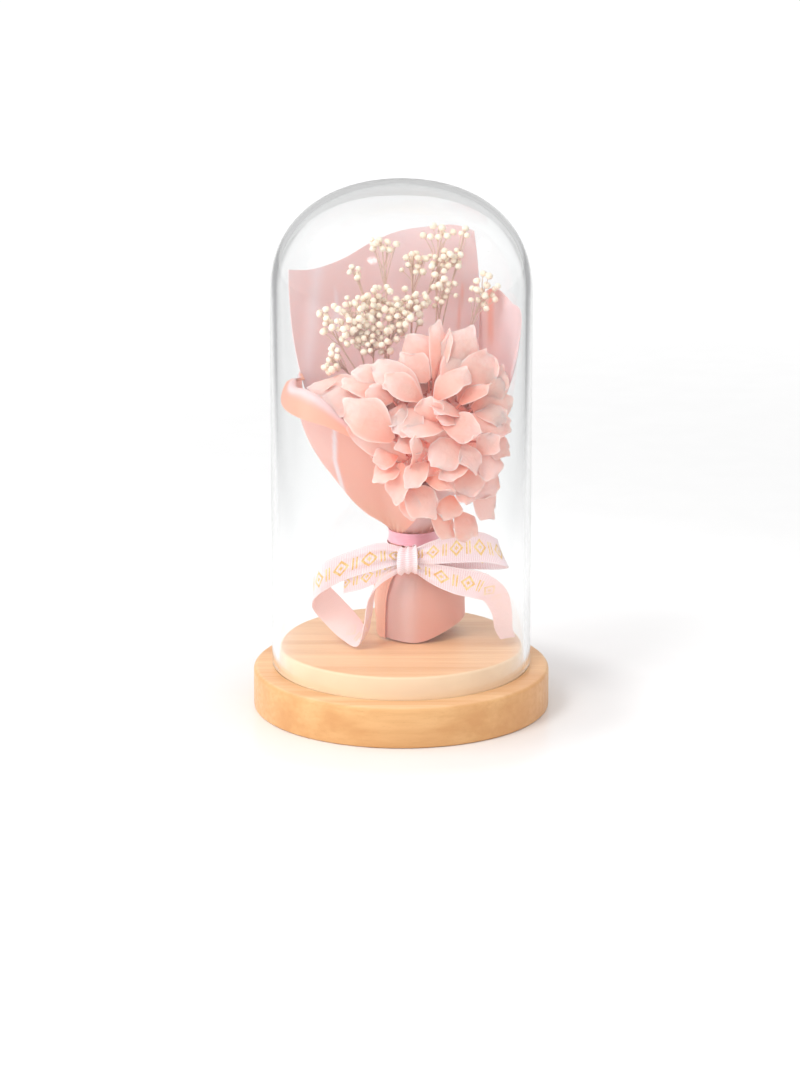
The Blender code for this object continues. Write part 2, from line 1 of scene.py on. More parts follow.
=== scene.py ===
"""A preserved hydrangea bouquet under a glass dome on a turned beech base.

Sizes in the classes are millimetres in the object's own frame: +Z up, front towards -Y, the
origin in the middle of the base's underside. They become metres where a mesh is made.
"""

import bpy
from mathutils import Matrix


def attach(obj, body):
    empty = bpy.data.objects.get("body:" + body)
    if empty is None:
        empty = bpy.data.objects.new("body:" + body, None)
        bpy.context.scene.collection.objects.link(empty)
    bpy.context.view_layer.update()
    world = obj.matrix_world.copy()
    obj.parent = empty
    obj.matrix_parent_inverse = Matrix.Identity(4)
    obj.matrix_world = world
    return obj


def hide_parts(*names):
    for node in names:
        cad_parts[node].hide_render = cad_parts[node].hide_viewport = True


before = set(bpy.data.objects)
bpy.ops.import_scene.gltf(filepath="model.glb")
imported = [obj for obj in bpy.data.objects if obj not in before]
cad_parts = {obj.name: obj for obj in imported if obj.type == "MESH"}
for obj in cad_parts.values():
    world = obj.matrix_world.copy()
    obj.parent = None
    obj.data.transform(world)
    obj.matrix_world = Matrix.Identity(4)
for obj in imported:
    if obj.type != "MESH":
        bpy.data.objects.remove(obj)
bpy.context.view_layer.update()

import logging
import math
import random
from collections.abc import Callable, Sequence
from dataclasses import dataclass, field
from enum import Enum

import bmesh
import bpy
from mathutils import Matrix, Vector
from mathutils.bvhtree import BVHTree

MM = 0.001
LOG = logging.getLogger("bouquet")
SIGHT_TILT = math.radians(14.83)
SIGHT_HEIGHT = 110.0
WAIST = Vector((5.0, 8.0, 64.0))
FLOOR = 26.9

Colour = tuple[float, float, float]
Spot = tuple[float, float, float]
Place = Callable[[float, float], Vector]
Feed = bpy.types.NodeSocket | Colour | float


# Helpers for shapes


def smooth(points: Sequence[Vector] | Sequence[float], t: float) -> Vector | float:
    """Reads a smooth curve through evenly spaced points or numbers.

    Args:
        points: Vectors or numbers, at least two.
        t: The place along them, from 0 to 1.

    Returns:
        The point or number there.
    """
    last = len(points) - 1
    place = min(max(t, 0.0), 1.0) * last
    i = min(int(place), last - 1)
    f = place - i
    before, start = points[max(i - 1, 0)], points[i]
    end, after = points[i + 1], points[min(i + 2, last)]
    cubic = (start * 3 - before - end * 3 + after) * f**3
    square = (before * 2 - start * 5 + end * 4 - after) * f**2
    return (start * 2 + (end - before) * f + square + cubic) * 0.5


def ease(t: float) -> float:
    """Runs from 0 to 1 with flat ends."""
    t = min(max(t, 0.0), 1.0)
    return t * t * (3 - 2 * t)


def sight_point(across: float, up: float, towards: float) -> Vector:
    """Turns a place square to the camera's line of sight into the object's axes.

    Args:
        across: To the right of the dome's axis.
        up: Above SIGHT_HEIGHT on that axis, square to the line of sight.
        towards: Towards the viewer.

    Returns:
        The point in millimetres.
    """
    y = up * math.sin(SIGHT_TILT) - towards * math.cos(SIGHT_TILT)
    z = up * math.cos(SIGHT_TILT) + towards * math.sin(SIGHT_TILT)
    return Vector((across, y, SIGHT_HEIGHT + z))


def select_only(*objects: bpy.types.Object) -> None:
    """Selects these objects and nothing else; the first is the active one."""
    bpy.ops.object.select_all(action="DESELECT")
    for obj in objects:
        obj.select_set(True)
    bpy.context.view_layer.objects.active = objects[0]


def apply_modifiers(obj: bpy.types.Object) -> None:
    """Applies every modifier of an object in order."""
    select_only(obj)
    for modifier in list(obj.modifiers):
        bpy.ops.object.modifier_apply(modifier=modifier.name)


def thicken(obj: bpy.types.Object, thickness: float) -> None:
    """Gives a sheet a thickness both ways and applies it.

    Args:
        obj: The sheet.
        thickness: In millimetres.
    """
    shell = obj.modifiers.new("Thickness", "SOLIDIFY")
    shell.thickness = thickness * MM
    shell.offset = 0.0
    apply_modifiers(obj)


def shaped_grid(
    name: str, columns: int, rows: int, place: Place,
    marks: dict[str, Callable[[float, float], float]] | None = None,
) -> bpy.types.Object:
    """Adds a grid and moves each of its points; its UV map keeps u and v.

    Args:
        name: The object's name.
        columns: Faces along u.
        rows: Faces along v.
        place: Gives the point in millimetres for u and v from 0 to 1.
        marks: Rules for numbers that are stored on the points, by attribute name.

    Returns:
        The grid, at the origin.
    """
    bpy.ops.object.select_all(action="DESELECT")
    bpy.ops.mesh.primitive_grid_add(x_subdivisions=columns, y_subdivisions=rows, size=2.0)
    obj = bpy.context.object
    obj.name = name
    spots = [((vert.co.x + 1) / 2, (vert.co.y + 1) / 2) for vert in obj.data.vertices]
    for vert, (u, v) in zip(obj.data.vertices, spots):
        vert.co = place(u, v) * MM
    for mark, rule in (marks or {}).items():
        store = obj.data.attributes.new(mark, "FLOAT", "POINT")
        for item, (u, v) in zip(store.data, spots):
            item.value = rule(u, v)
    return obj


def spun_profile(
    name: str, profile: Sequence[tuple[float, float]], steps: int
) -> bpy.types.Object:
    """Draws a profile by extruding one point, and spins it round the upright axis.

    Args:
        name: The object's name.
        profile: Radius and height of each point, in order.
        steps: Facets round the axis.

    Returns:
        The closed turned shape.
    """
    bpy.ops.object.select_all(action="DESELECT")
    bpy.ops.mesh.primitive_plane_add(size=1 * MM)
    obj = bpy.context.object
    obj.name = name
    bpy.ops.object.mode_set(mode="EDIT")
    bpy.ops.mesh.select_mode(type="VERT")
    bpy.ops.mesh.select_all(action="SELECT")
    bpy.ops.mesh.merge(type="CENTER")
    here = Vector((0.0, 0.0, 0.0))
    for i, (radius, height) in enumerate(profile):
        there = Vector((radius, 0.0, height)) * MM
        if i:
            bpy.ops.mesh.extrude_region_move(TRANSFORM_OT_translate={"value": there - here})
        else:
            bpy.ops.transform.translate(value=there - here)
        here = there
    bpy.ops.mesh.select_all(action="SELECT")
    bpy.ops.mesh.spin(
        steps=steps, angle=math.tau, center=(0.0, 0.0, 0.0), axis=(0.0, 0.0, 1.0)
    )
    bpy.ops.mesh.select_all(action="SELECT")
    bpy.ops.mesh.remove_doubles(threshold=0.00001)
    bpy.ops.mesh.normals_make_consistent(inside=False)
    bpy.ops.object.mode_set(mode="OBJECT")
    return obj


def tone(obj: bpy.types.Object, name: str, value: float | Callable[[Vector], float]) -> None:
    """Stores one number on every point of a mesh, for its material to read.

    Args:
        obj: The object.
        name: The attribute's name.
        value: The number, or a rule that gives it from the point in millimetres.
    """
    store = obj.data.attributes.new(name, "FLOAT", "POINT")
    for i, vert in enumerate(obj.data.vertices):
        store.data[i].value = value(vert.co / MM) if callable(value) else value


def join(name: str, pieces: Sequence[bpy.types.Object]) -> bpy.types.Object:
    """Joins objects into one mesh with a new name.

    Args:
        name: The new name.
        pieces: The objects.

    Returns:
        The joined object.
    """
    select_only(*pieces)
    bpy.ops.object.join()
    obj = bpy.context.object
    obj.name = name
    return obj


def finish(
    obj: bpy.types.Object, material: bpy.types.Material, nodes: Sequence[str], slot: str,
    angle: float = 60.0,
) -> bpy.types.Object:
    """Smooths a piece, gives it its material, and hides the solids that it replaces.

    Args:
        obj: The piece.
        material: Its finish.
        nodes: The solids of the part that it replaces.
        slot: Not used.
        angle: Edges sharper than this many degrees stay sharp.

    Returns:
        The piece.
    """
    select_only(obj)
    bpy.ops.object.transform_apply(location=True, rotation=True, scale=True)
    bpy.ops.object.shade_smooth_by_angle(angle=math.radians(angle))
    obj.data.materials.clear()
    obj.data.materials.append(material)
    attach(obj, "root")
    if nodes:
        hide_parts(*nodes)
    LOG.info("%s: %d faces", obj.name, len(obj.data.polygons))
    return obj


def tree_of(*objects: bpy.types.Object) -> BVHTree:
    """A search tree over the faces of some finished pieces, in millimetres.

    Args:
        *objects: The pieces.

    Returns:
        The tree.
    """
    points: list[Vector] = []
    faces: list[tuple[int, ...]] = []
    for obj in objects:
        first = len(points)
        points += [vert.co / MM for vert in obj.data.vertices]
        faces += [tuple(first + i for i in face.vertices) for face in obj.data.polygons]
    return BVHTree.FromPolygons(points, faces)


# Finishes


class Recipe:
    """A Principled material that is put together from nodes."""

    def __init__(self, name: str) -> None:
        """Starts the material.

        Args:
            name: The material's name.
        """
        self.material = bpy.data.materials.new(name)
        self.material.use_nodes = True
        self.tree = self.material.node_tree
        self.shader = self.tree.nodes["Principled BSDF"]

    def node(self, kind: str, **settings: object) -> bpy.types.Node:
        """Adds a node and sets its properties.

        Args:
            kind: The node's type.
            **settings: Its properties.

        Returns:
            The node.
        """
        made = self.tree.nodes.new(kind)
        for key, value in settings.items():
            setattr(made, key, value)
        return made

    def feed(self, socket: bpy.types.NodeSocket, value: Feed) -> None:
        """Links a socket to another one, or sets it to a plain value.

        Args:
            socket: The input.
            value: An output socket, a number, a colour or a vector.
        """
        if isinstance(value, bpy.types.NodeSocket):
            self.tree.links.new(value, socket)
        elif isinstance(value, tuple) and len(value) == 3 and socket.type == "RGBA":
            socket.default_value = (*value, 1.0)
        else:
            socket.default_value = value

    def set(self, **sockets: Feed) -> None:
        """Feeds the shader's own sockets; underscores stand for spaces in their names."""
        for key, value in sockets.items():
            self.feed(self.shader.inputs[key.replace("_", " ")], value)

    def place(self) -> bpy.types.NodeSocket:
        """The object's own coordinates, in metres."""
        return self.node("ShaderNodeTexCoord").outputs["Object"]

    def map_place(self) -> bpy.types.NodeSocket:
        """The piece's own UV map."""
        return self.node("ShaderNodeTexCoord").outputs["UV"]

    def stretched(
        self, vector: bpy.types.NodeSocket, scale: tuple[float, float, float],
        shift: tuple[float, float, float] = (0.0, 0.0, 0.0),
    ) -> bpy.types.NodeSocket:
        """Scales and shifts coordinates.

        Args:
            vector: The coordinates.
            scale: The factor along each axis.
            shift: What is added after it.

        Returns:
            The new coordinates.
        """
        made = self.node("ShaderNodeMapping")
        self.feed(made.inputs["Vector"], vector)
        made.inputs["Scale"].default_value = scale
        made.inputs["Location"].default_value = shift
        return made.outputs["Vector"]

    def noise(
        self, vector: bpy.types.NodeSocket, scale: float, detail: float = 3.0,
        rough: float = 0.5,
    ) -> bpy.types.NodeSocket:
        """A noise value from 0 to 1.

        Args:
            vector: The coordinates that it is read at.
            scale: How fine it is.
            detail: Its finer octaves.
            rough: How strong those are.

        Returns:
            The value.
        """
        made = self.node("ShaderNodeTexNoise")
        self.feed(made.inputs["Vector"], vector)
        made.inputs["Scale"].default_value = scale
        made.inputs["Detail"].default_value = detail
        made.inputs["Roughness"].default_value = rough
        return made.outputs["Fac"]

    def attribute(self, name: str) -> bpy.types.NodeSocket:
        """A number stored on the piece's points."""
        return self.node("ShaderNodeAttribute", attribute_name=name).outputs["Fac"]

    def sum(self, operation: str, *values: Feed) -> bpy.types.NodeSocket:
        """A Math node on up to three values.

        Args:
            operation: What it works out.
            *values: Its inputs in order.

        Returns:
            Its result.
        """
        made = self.node("ShaderNodeMath", operation=operation)
        for socket, value in zip(made.inputs, values):
            self.feed(socket, value)
        return made.outputs["Value"]

    def span(
        self, value: Feed, low: float, high: float, to_low: float = 0.0, to_high: float = 1.0
    ) -> bpy.types.NodeSocket:
        """Maps low to high onto another range, smoothly and held at its ends.

        Args:
            value: The value that is mapped.
            low: Where the range starts.
            high: Where it ends.
            to_low: What its start becomes.
            to_high: What its end becomes.

        Returns:
            The mapped value.
        """
        made = self.node("ShaderNodeMapRange", interpolation_type="SMOOTHSTEP")
        self.feed(made.inputs["Value"], value)
        made.inputs["From Min"].default_value = low
        made.inputs["From Max"].default_value = high
        made.inputs["To Min"].default_value = to_low
        made.inputs["To Max"].default_value = to_high
        return made.outputs["Result"]

    def mix(
        self, factor: Feed, first: Feed, second: Feed, blend: str = "MIX"
    ) -> bpy.types.NodeSocket:
        """Mixes two colours.

        Args:
            factor: The share of the second one.
            first: The first colour.
            second: The second colour.
            blend: The way of mixing.

        Returns:
            The mixed colour.
        """
        made = self.node("ShaderNodeMix", data_type="RGBA", blend_type=blend)
        self.feed(made.inputs[0], factor)
        self.feed(made.inputs[6], first)
        self.feed(made.inputs[7], second)
        return made.outputs[2]

    def ramp(
        self, factor: Feed, stops: Sequence[tuple[float, Colour]]
    ) -> bpy.types.NodeSocket:
        """A colour ramp with eased steps.

        Args:
            factor: The place on it, from 0 to 1.
            stops: Places and their colours.

        Returns:
            The colour there.
        """
        made = self.node("ShaderNodeValToRGB")
        self.feed(made.inputs["Fac"], factor)
        ramp = made.color_ramp
        ramp.interpolation = "EASE"
        while len(ramp.elements) < len(stops):
            ramp.elements.new(0.5)
        for element, (at, colour) in zip(ramp.elements, stops):
            element.position = at
            element.color = (*colour, 1.0)
        return made.outputs["Color"]

    def bump(
        self, height: Feed, distance: float, strength: float = 1.0,
        under: bpy.types.NodeSocket | None = None,
    ) -> bpy.types.NodeSocket:
        """A bump from a height.

        Args:
            height: The height, from 0 to 1.
            distance: How high 1 stands, in millimetres.
            strength: The share of it that is used.
            under: Another bump's normal below this one.

        Returns:
            The normal.
        """
        made = self.node("ShaderNodeBump")
        self.feed(made.inputs["Height"], height)
        made.inputs["Distance"].default_value = distance * MM
        made.inputs["Strength"].default_value = strength
        if under is not None:
            self.feed(made.inputs["Normal"], under)
        return made.outputs["Normal"]


@dataclass(frozen=True)
class BeechFinish:
    """Lacquered beech: the grain runs left to right, with the wood's short dark flecks.

    The spans are radii and heights in metres: past the first, painted shade makes the disc's edge
    and side darker and more orange than its top; within the others, a painted highlight makes the
    plateau's side and edge paler.
    """

    light: Colour = (0.90, 0.58, 0.32)
    warm: Colour = (0.92, 0.55, 0.31)
    dark: Colour = (0.75, 0.41, 0.19)
    fleck: Colour = (0.55, 0.29, 0.13)
    # Painted shade: the disc's edge and side are multiplied by this, darker and more orange than
    # its top.
    rim: Colour = (0.88, 0.78, 0.60)
    # Painted highlight: the plateau's side and upper edge are made paler with this.
    step: Colour = (0.93, 0.73, 0.50)
    side_shade_span: tuple[float, float] = (0.0588, 0.0598)
    step_highlight_span: tuple[float, float] = (0.0483, 0.0489)
    step_highlight_height: tuple[float, float] = (0.0172, 0.0178)
    roughness: float = 0.38

    def build(self) -> bpy.types.Material:
        """Puts the material together.

        Returns:
            The material.
        """
        r = Recipe("beech")
        place = r.place()
        bands = r.noise(r.stretched(place, (4.0, 90.0, 90.0)), 1.0, 4.0, 0.55)
        fine = r.noise(r.stretched(place, (14.0, 520.0, 520.0)), 1.0, 3.0, 0.6)
        wide = r.noise(r.stretched(place, (2.0, 24.0, 24.0)), 1.0, 2.0, 0.5)
        colour = r.mix(r.span(bands, 0.32, 0.68), self.light, self.dark)
        colour = r.mix(r.span(wide, 0.4, 0.7, 0.0, 0.35), colour, self.warm)
        colour = r.mix(r.span(fine, 0.35, 0.75, 0.0, 0.5), colour, self.dark)
        flecks = r.noise(r.stretched(place, (420.0, 3600.0, 3600.0)), 1.0, 1.0, 0.4)
        colour = r.mix(r.span(flecks, 0.66, 0.76, 0.0, 0.3), colour, self.fleck)
        flat = r.node("ShaderNodeVectorMath", operation="LENGTH")
        r.feed(flat.inputs[0], r.stretched(place, (1.0, 1.0, 0.0)))
        # Painted shade on the disc's edge and side, which are lit less than its top.
        rim = r.span(flat.outputs["Value"], *self.side_shade_span)
        colour = r.mix(rim, colour, r.mix(1.0, colour, self.rim, "MULTIPLY"))
        parts = r.node("ShaderNodeSeparateXYZ")
        r.feed(parts.inputs[0], place)
        # Painted highlight on the plateau's side and upper edge.
        step = r.sum(
            "MULTIPLY",
            r.span(flat.outputs["Value"], *self.step_highlight_span, 0.0, 0.55),
            r.span(parts.outputs["Z"], *self.step_highlight_height),
        )
        colour = r.mix(step, colour, self.step)
        r.set(
            Base_Color=colour,
            Roughness=r.span(fine, 0.2, 0.8, self.roughness - 0.05, self.roughness + 0.1),
            Normal=r.bump(fine, 0.06, 0.4, r.bump(flecks, 0.05, 0.3)),
            Coat_Weight=0.15,
            Coat_Roughness=0.25,
        )
        return r.material


@dataclass(frozen=True)
class GlassFinish:
    """Clear blown glass that lets light in to what it covers."""

    tint: Colour = (0.985, 0.99, 0.99)
    bend: float = 1.46

    def build(self) -> bpy.types.Material:
        """Puts the material together.

        Returns:
            The material.
        """
        r = Recipe("clear_glass")
        r.set(
            Base_Color=self.tint, Roughness=0.0, IOR=self.bend, Transmission_Weight=1.0,
        )
        path = r.node("ShaderNodeLightPath")
        clear = r.node("ShaderNodeBsdfTransparent")
        clear.inputs["Color"].default_value = (*self.tint, 1.0)
        blend = r.node("ShaderNodeMixShader")
        lamp_or_bounce = r.sum(
            "MAXIMUM", path.outputs["Is Shadow Ray"], path.outputs["Is Diffuse Ray"]
        )
        r.feed(blend.inputs[0], lamp_or_bounce)
        r.feed(blend.inputs[1], r.shader.outputs["BSDF"])
        r.feed(blend.inputs[2], clear.outputs["BSDF"])
        output = r.tree.nodes["Material Output"]
        r.feed(output.inputs["Surface"], blend.outputs["Shader"])
        return r.material


@dataclass(frozen=True)
class PetalFinish:
    """Preserved sepals: salmon claws, partly painted shade; pale margins, painted highlight; fine
    veins.

    A faint salmon glow in the head's depths stands for the light that comes through the sepals.
    It has its middle at heart, in metres, and depth is one over its reach along each axis.
    """

    # Partly the sepal's own tone, partly painted shade where the claws sit in the head's recesses.
    claw: Colour = (0.95, 0.26, 0.18)
    blade: Colour = (1.0, 0.41, 0.33)
    rim: Colour = (1.0, 0.60, 0.54)
    pale: Colour = (1.0, 0.72, 0.67)
    dusty: Colour = (0.93, 0.52, 0.48)
    # The colour of the painted highlight on the thin margins.
    margin: Colour = (1.0, 0.84, 0.80)
    glow: Colour = (1.0, 0.40, 0.30)
    heart: Spot = (0.012, -0.004, 0.113)
    depth: Spot = (1 / 0.027, 1 / 0.021, 1 / 0.028)

    def build(self) -> bpy.types.Material:
        """Puts the material together.

        Returns:
            The material.
        """
        r = Recipe("petal")
        split = r.node("ShaderNodeSeparateXYZ")
        r.feed(split.inputs[0], r.map_place())
        across = r.sum("ABSOLUTE", r.sum("SUBTRACT", split.outputs["X"], 0.5))
        # Deeper towards the claw and paler towards the tip: the sepal's own tone, with painted
        # shade deepening the claws.
        colour = r.ramp(
            split.outputs["Y"], [(0.0, self.claw), (0.4, self.blade), (1.0, self.rim)]
        )
        # Painted highlight: paler towards the side margins.
        colour = r.mix(r.span(across, 0.36, 0.5, 0.0, 0.5), colour, self.rim)
        patches = r.noise(r.place(), 260.0, 3.0)
        colour = r.mix(r.span(patches, 0.4, 0.8, 0.0, 0.35), colour, self.claw)
        colour = r.mix(r.attribute("pale"), colour, self.pale)
        colour = r.mix(r.attribute("dust"), colour, self.dusty)
        # Painted highlight along the thin margins and the tip.
        margin = r.sum(
            "MAXIMUM", r.span(across, 0.445, 0.49), r.span(split.outputs["Y"], 0.94, 0.99)
        )
        colour = r.mix(r.sum("MULTIPLY", margin, 0.35), colour, self.margin)
        veins = r.noise(r.stretched(r.map_place(), (26.0, 3.2, 1.0)), 1.0, 2.0, 0.5)
        pores = r.noise(r.place(), 2600.0, 2.0)
        creases = r.noise(r.place(), 420.0, 2.0, 0.4)
        deep = r.node("ShaderNodeVectorMath", operation="LENGTH")
        middle = tuple(-part * scale for part, scale in zip(self.heart, self.depth))
        r.feed(deep.inputs[0], r.stretched(r.place(), self.depth, middle))
        glow = r.span(deep.outputs["Value"], 0.4, 1.0, 0.26, 0.0)
        r.set(
            Base_Color=colour,
            Roughness=0.62,
            Subsurface_Weight=0.5,
            Subsurface_Radius=(1.0, 0.42, 0.32),
            Subsurface_Scale=0.0018,
            Normal=r.bump(creases, 0.9, 0.45, r.bump(veins, 0.15, 0.6, r.bump(pores, 0.03, 0.5))),
            Specular_IOR_Level=0.25,
            Emission_Color=self.glow,
            Emission_Strength=glow,
        )
        return r.material


@dataclass(frozen=True)
class StalkFinish:
    """Thin dry stems."""

    colour: Colour = (0.80, 0.50, 0.38)
    name: str = "dry_stalk"

    def build(self) -> bpy.types.Material:
        """Puts the material together.

        Returns:
            The material.
        """
        r = Recipe(self.name)
        shade = r.noise(r.place(), 700.0, 2.0)
        darker = tuple(0.7 * part for part in self.colour)
        r.set(Base_Color=r.mix(shade, self.colour, darker), Roughness=0.7)
        return r.material


@dataclass(frozen=True)
class BudFinish:
    """Dried gypsophila buds: chalky cream, tan where they are creased."""

    cream: Colour = (1.0, 0.91, 0.78)
    tan: Colour = (0.88, 0.66, 0.46)

    def build(self) -> bpy.types.Material:
        """Puts the material together.

        Returns:
            The material.
        """
        r = Recipe("cream_bud")
        crumbs = r.noise(r.place(), 900.0, 3.0, 0.6)
        colour = r.mix(r.span(crumbs, 0.35, 0.75, 0.0, 0.55), self.cream, self.tan)
        colour = r.mix(r.attribute("tan"), colour, self.tan)
        r.set(
            Base_Color=colour,
            Roughness=0.8,
            Subsurface_Weight=0.15,
            Subsurface_Radius=(1.0, 0.7, 0.5),
            Subsurface_Scale=0.001,
            Normal=r.bump(crumbs, 0.35, 0.7),
        )
        return r.material


@dataclass(frozen=True)
class FilmFinish:
    """Matte wrapping film, a little translucent."""

    name: str
    colour: Colour
    # The deeper colour: the film's own tone low down, painted shade in folds and under the lip.
    low: Colour
    # The colour of the painted highlight.
    painted_highlight_colour: Colour
    roughness: float = 0.42

    def build(self) -> bpy.types.Material:
        """Puts the material together.

        Returns:
            The material.
        """
        r = Recipe(self.name)
        cloud = r.noise(r.stretched(r.place(), (30.0, 30.0, 12.0)), 1.0, 2.0)
        # The deeper colour: the film's own tone low down, painted shade in folds and under the
        # lip.
        colour = r.mix(r.span(r.attribute("rise"), 0.0, 1.0), self.low, self.colour)
        colour = r.mix(r.span(cloud, 0.3, 0.8, 0.0, 0.2), colour, self.low)
        # Painted highlight, by the share stored on the points.
        colour = r.mix(r.attribute("painted_highlight"), colour, self.painted_highlight_colour)
        fibres = r.noise(r.place(), 1500.0, 3.0)
        r.set(
            Base_Color=colour,
            Roughness=self.roughness,
            Subsurface_Weight=0.6,
            Subsurface_Radius=(1.0, 0.55, 0.5),
            Subsurface_Scale=0.002,
            Normal=r.bump(fibres, 0.02, 0.5),
        )
        return r.material


@dataclass(frozen=True)
class RibbonFinish:
    """Pale pink grosgrain with a gold row of lozenges and double bars, in millimetres."""

    ground: Colour = (0.94, 0.66, 0.70)
    rib: Colour = (1.0, 0.82, 0.84)
    gold: Colour = (0.90, 0.55, 0.16)
    bright_gold: Colour = (0.98, 0.74, 0.34)
    inside: Colour = (0.96, 0.68, 0.65)
    width: float = 12.0
    rib_step: float = 0.75
    repeat: float = 9.0
    lozenge_long: float = 2.6
    lozenge_wide: float = 3.4
    bar_at: float = 3.9

    def build(self) -> bpy.types.Material:
        """Puts the material together; U is across the ribbon and V its length in centimetres.

        Returns:
            The material.
        """
        r = Recipe("ribbon")
        split = r.node("ShaderNodeSeparateXYZ")
        r.feed(split.inputs[0], r.map_place())
        along = r.sum("MULTIPLY", split.outputs["Y"], 10.0)
        across = r.sum("MULTIPLY", r.sum("SUBTRACT", split.outputs["X"], 0.5), self.width)
        turns = r.sum("MULTIPLY", along, math.pi / self.rib_step)
        ribs = r.sum("ABSOLUTE", r.sum("SINE", turns))
        colour = r.mix(r.span(ribs, 0.1, 0.9), self.ground, self.rib)
        selvedge = r.span(r.sum("ABSOLUTE", across), 5.2, 5.6)
        colour = r.mix(selvedge, colour, self.rib)
        step = r.sum("SUBTRACT", r.sum("WRAP", along, self.repeat, 0.0), self.repeat / 2)
        size = r.sum(
            "ADD",
            r.sum("DIVIDE", r.sum("ABSOLUTE", step), self.lozenge_long),
            r.sum("DIVIDE", r.sum("ABSOLUTE", across), self.lozenge_wide),
        )
        ring = r.sum("MULTIPLY", r.span(size, 0.62, 0.7), r.span(size, 0.98, 1.06, 1.0, 0.0))
        heart = r.span(size, 0.24, 0.34, 1.0, 0.0)
        side = r.sum("SUBTRACT", r.sum("ABSOLUTE", step), self.bar_at)
        bar = r.sum(
            "MULTIPLY",
            r.span(r.sum("ABSOLUTE", side), 0.22, 0.34, 1.0, 0.0),
            r.span(r.sum("ABSOLUTE", across), 2.5, 2.7, 1.0, 0.0),
        )
        motif = r.sum("MAXIMUM", r.sum("MAXIMUM", ring, heart), bar)
        motif = r.sum("MULTIPLY", motif, r.attribute("printed"))
        foil = r.noise(r.place(), 500.0, 2.0)
        gold = r.mix(r.span(foil, 0.35, 0.65), self.gold, self.bright_gold)
        colour = r.mix(r.attribute("lining"), colour, self.inside)
        colour = r.mix(motif, colour, gold)
        r.set(
            Base_Color=colour,
            Metallic=r.sum("MULTIPLY", motif, 0.55),
            Roughness=r.span(motif, 0.0, 1.0, 0.6, 0.32),
            Subsurface_Weight=0.1,
            Subsurface_Radius=(1.0, 0.6, 0.6),
            Subsurface_Scale=0.0012,
            Normal=r.bump(ribs, 0.12, 0.7),
            Sheen_Weight=0.15,
        )
        return r.material


@dataclass(frozen=True)
class SatinFinish:
    """Smooth satin in a deeper pink."""

    colour: Colour = (0.88, 0.36, 0.44)
    painted_sheen: Colour = (0.96, 0.55, 0.66)

    def build(self) -> bpy.types.Material:
        """Puts the material together.

        Returns:
            The material.
        """
        r = Recipe("satin")
        threads = r.noise(r.stretched(r.map_place(), (90.0, 1.5, 1.0)), 1.0, 2.0)
        r.set(
            # Painted sheen in streaks along the threads.
            Base_Color=r.mix(r.span(threads, 0.3, 0.7), self.colour, self.painted_sheen),
            Roughness=0.34,
            Sheen_Weight=0.3,
            Normal=r.bump(threads, 0.05, 0.4),
        )
        return r.material


@dataclass(frozen=True)
class FloorFinish:
    """A pale, faintly glossy studio floor.

    It gives off a little light of its own past the base, which keeps it white to the picture's
    edges, and is darker far to the sides behind the object.
    """

    colour: Colour = (0.90, 0.90, 0.90)
    edge: Colour = (0.34, 0.34, 0.345)
    roughness: float = 0.22

    def build(self) -> bpy.types.Material:
        """Puts the material together.

        Returns:
            The material.
        """
        r = Recipe("studio_floor")
        grain = r.noise(r.place(), 40.0, 2.0)
        split = r.node("ShaderNodeSeparateXYZ")
        r.feed(split.inputs[0], r.place())
        length = r.node("ShaderNodeVectorMath", operation="LENGTH")
        r.feed(length.inputs[0], r.place())
        out = length.outputs["Value"]
        # Painted light: a glow that comes in just past the base thins the base's shadow, dips
        # further out and grows far off.
        light = r.sum(
            "ADD", r.span(out, 0.082, 0.112, 0.0, 0.14), r.span(out, 0.35, 1.1, 0.0, 0.23)
        )
        light = r.sum("SUBTRACT", light, r.span(out, 0.18, 0.32, 0.0, 0.12))
        # Painted dark far to the sides behind the object, standing for a dimmer surround that the
        # glass's edges show.
        across = r.sum("ABSOLUTE", split.outputs["X"])
        side = r.span(r.sum("MULTIPLY_ADD", split.outputs["Y"], -0.09, across), 0.172, 0.34)
        behind = r.sum("MULTIPLY", side, r.span(split.outputs["Y"], -0.05, 0.15))
        r.set(
            Base_Color=r.mix(behind, self.colour, self.edge),
            Roughness=r.span(grain, 0.3, 0.7, self.roughness - 0.02, self.roughness + 0.02),
            Specular_IOR_Level=0.35,
            Emission_Color=(1.0, 1.0, 1.0),
            Emission_Strength=r.sum("MULTIPLY", light, r.sum("SUBTRACT", 1.0, behind)),
        )
        return r.material


# The turned pieces


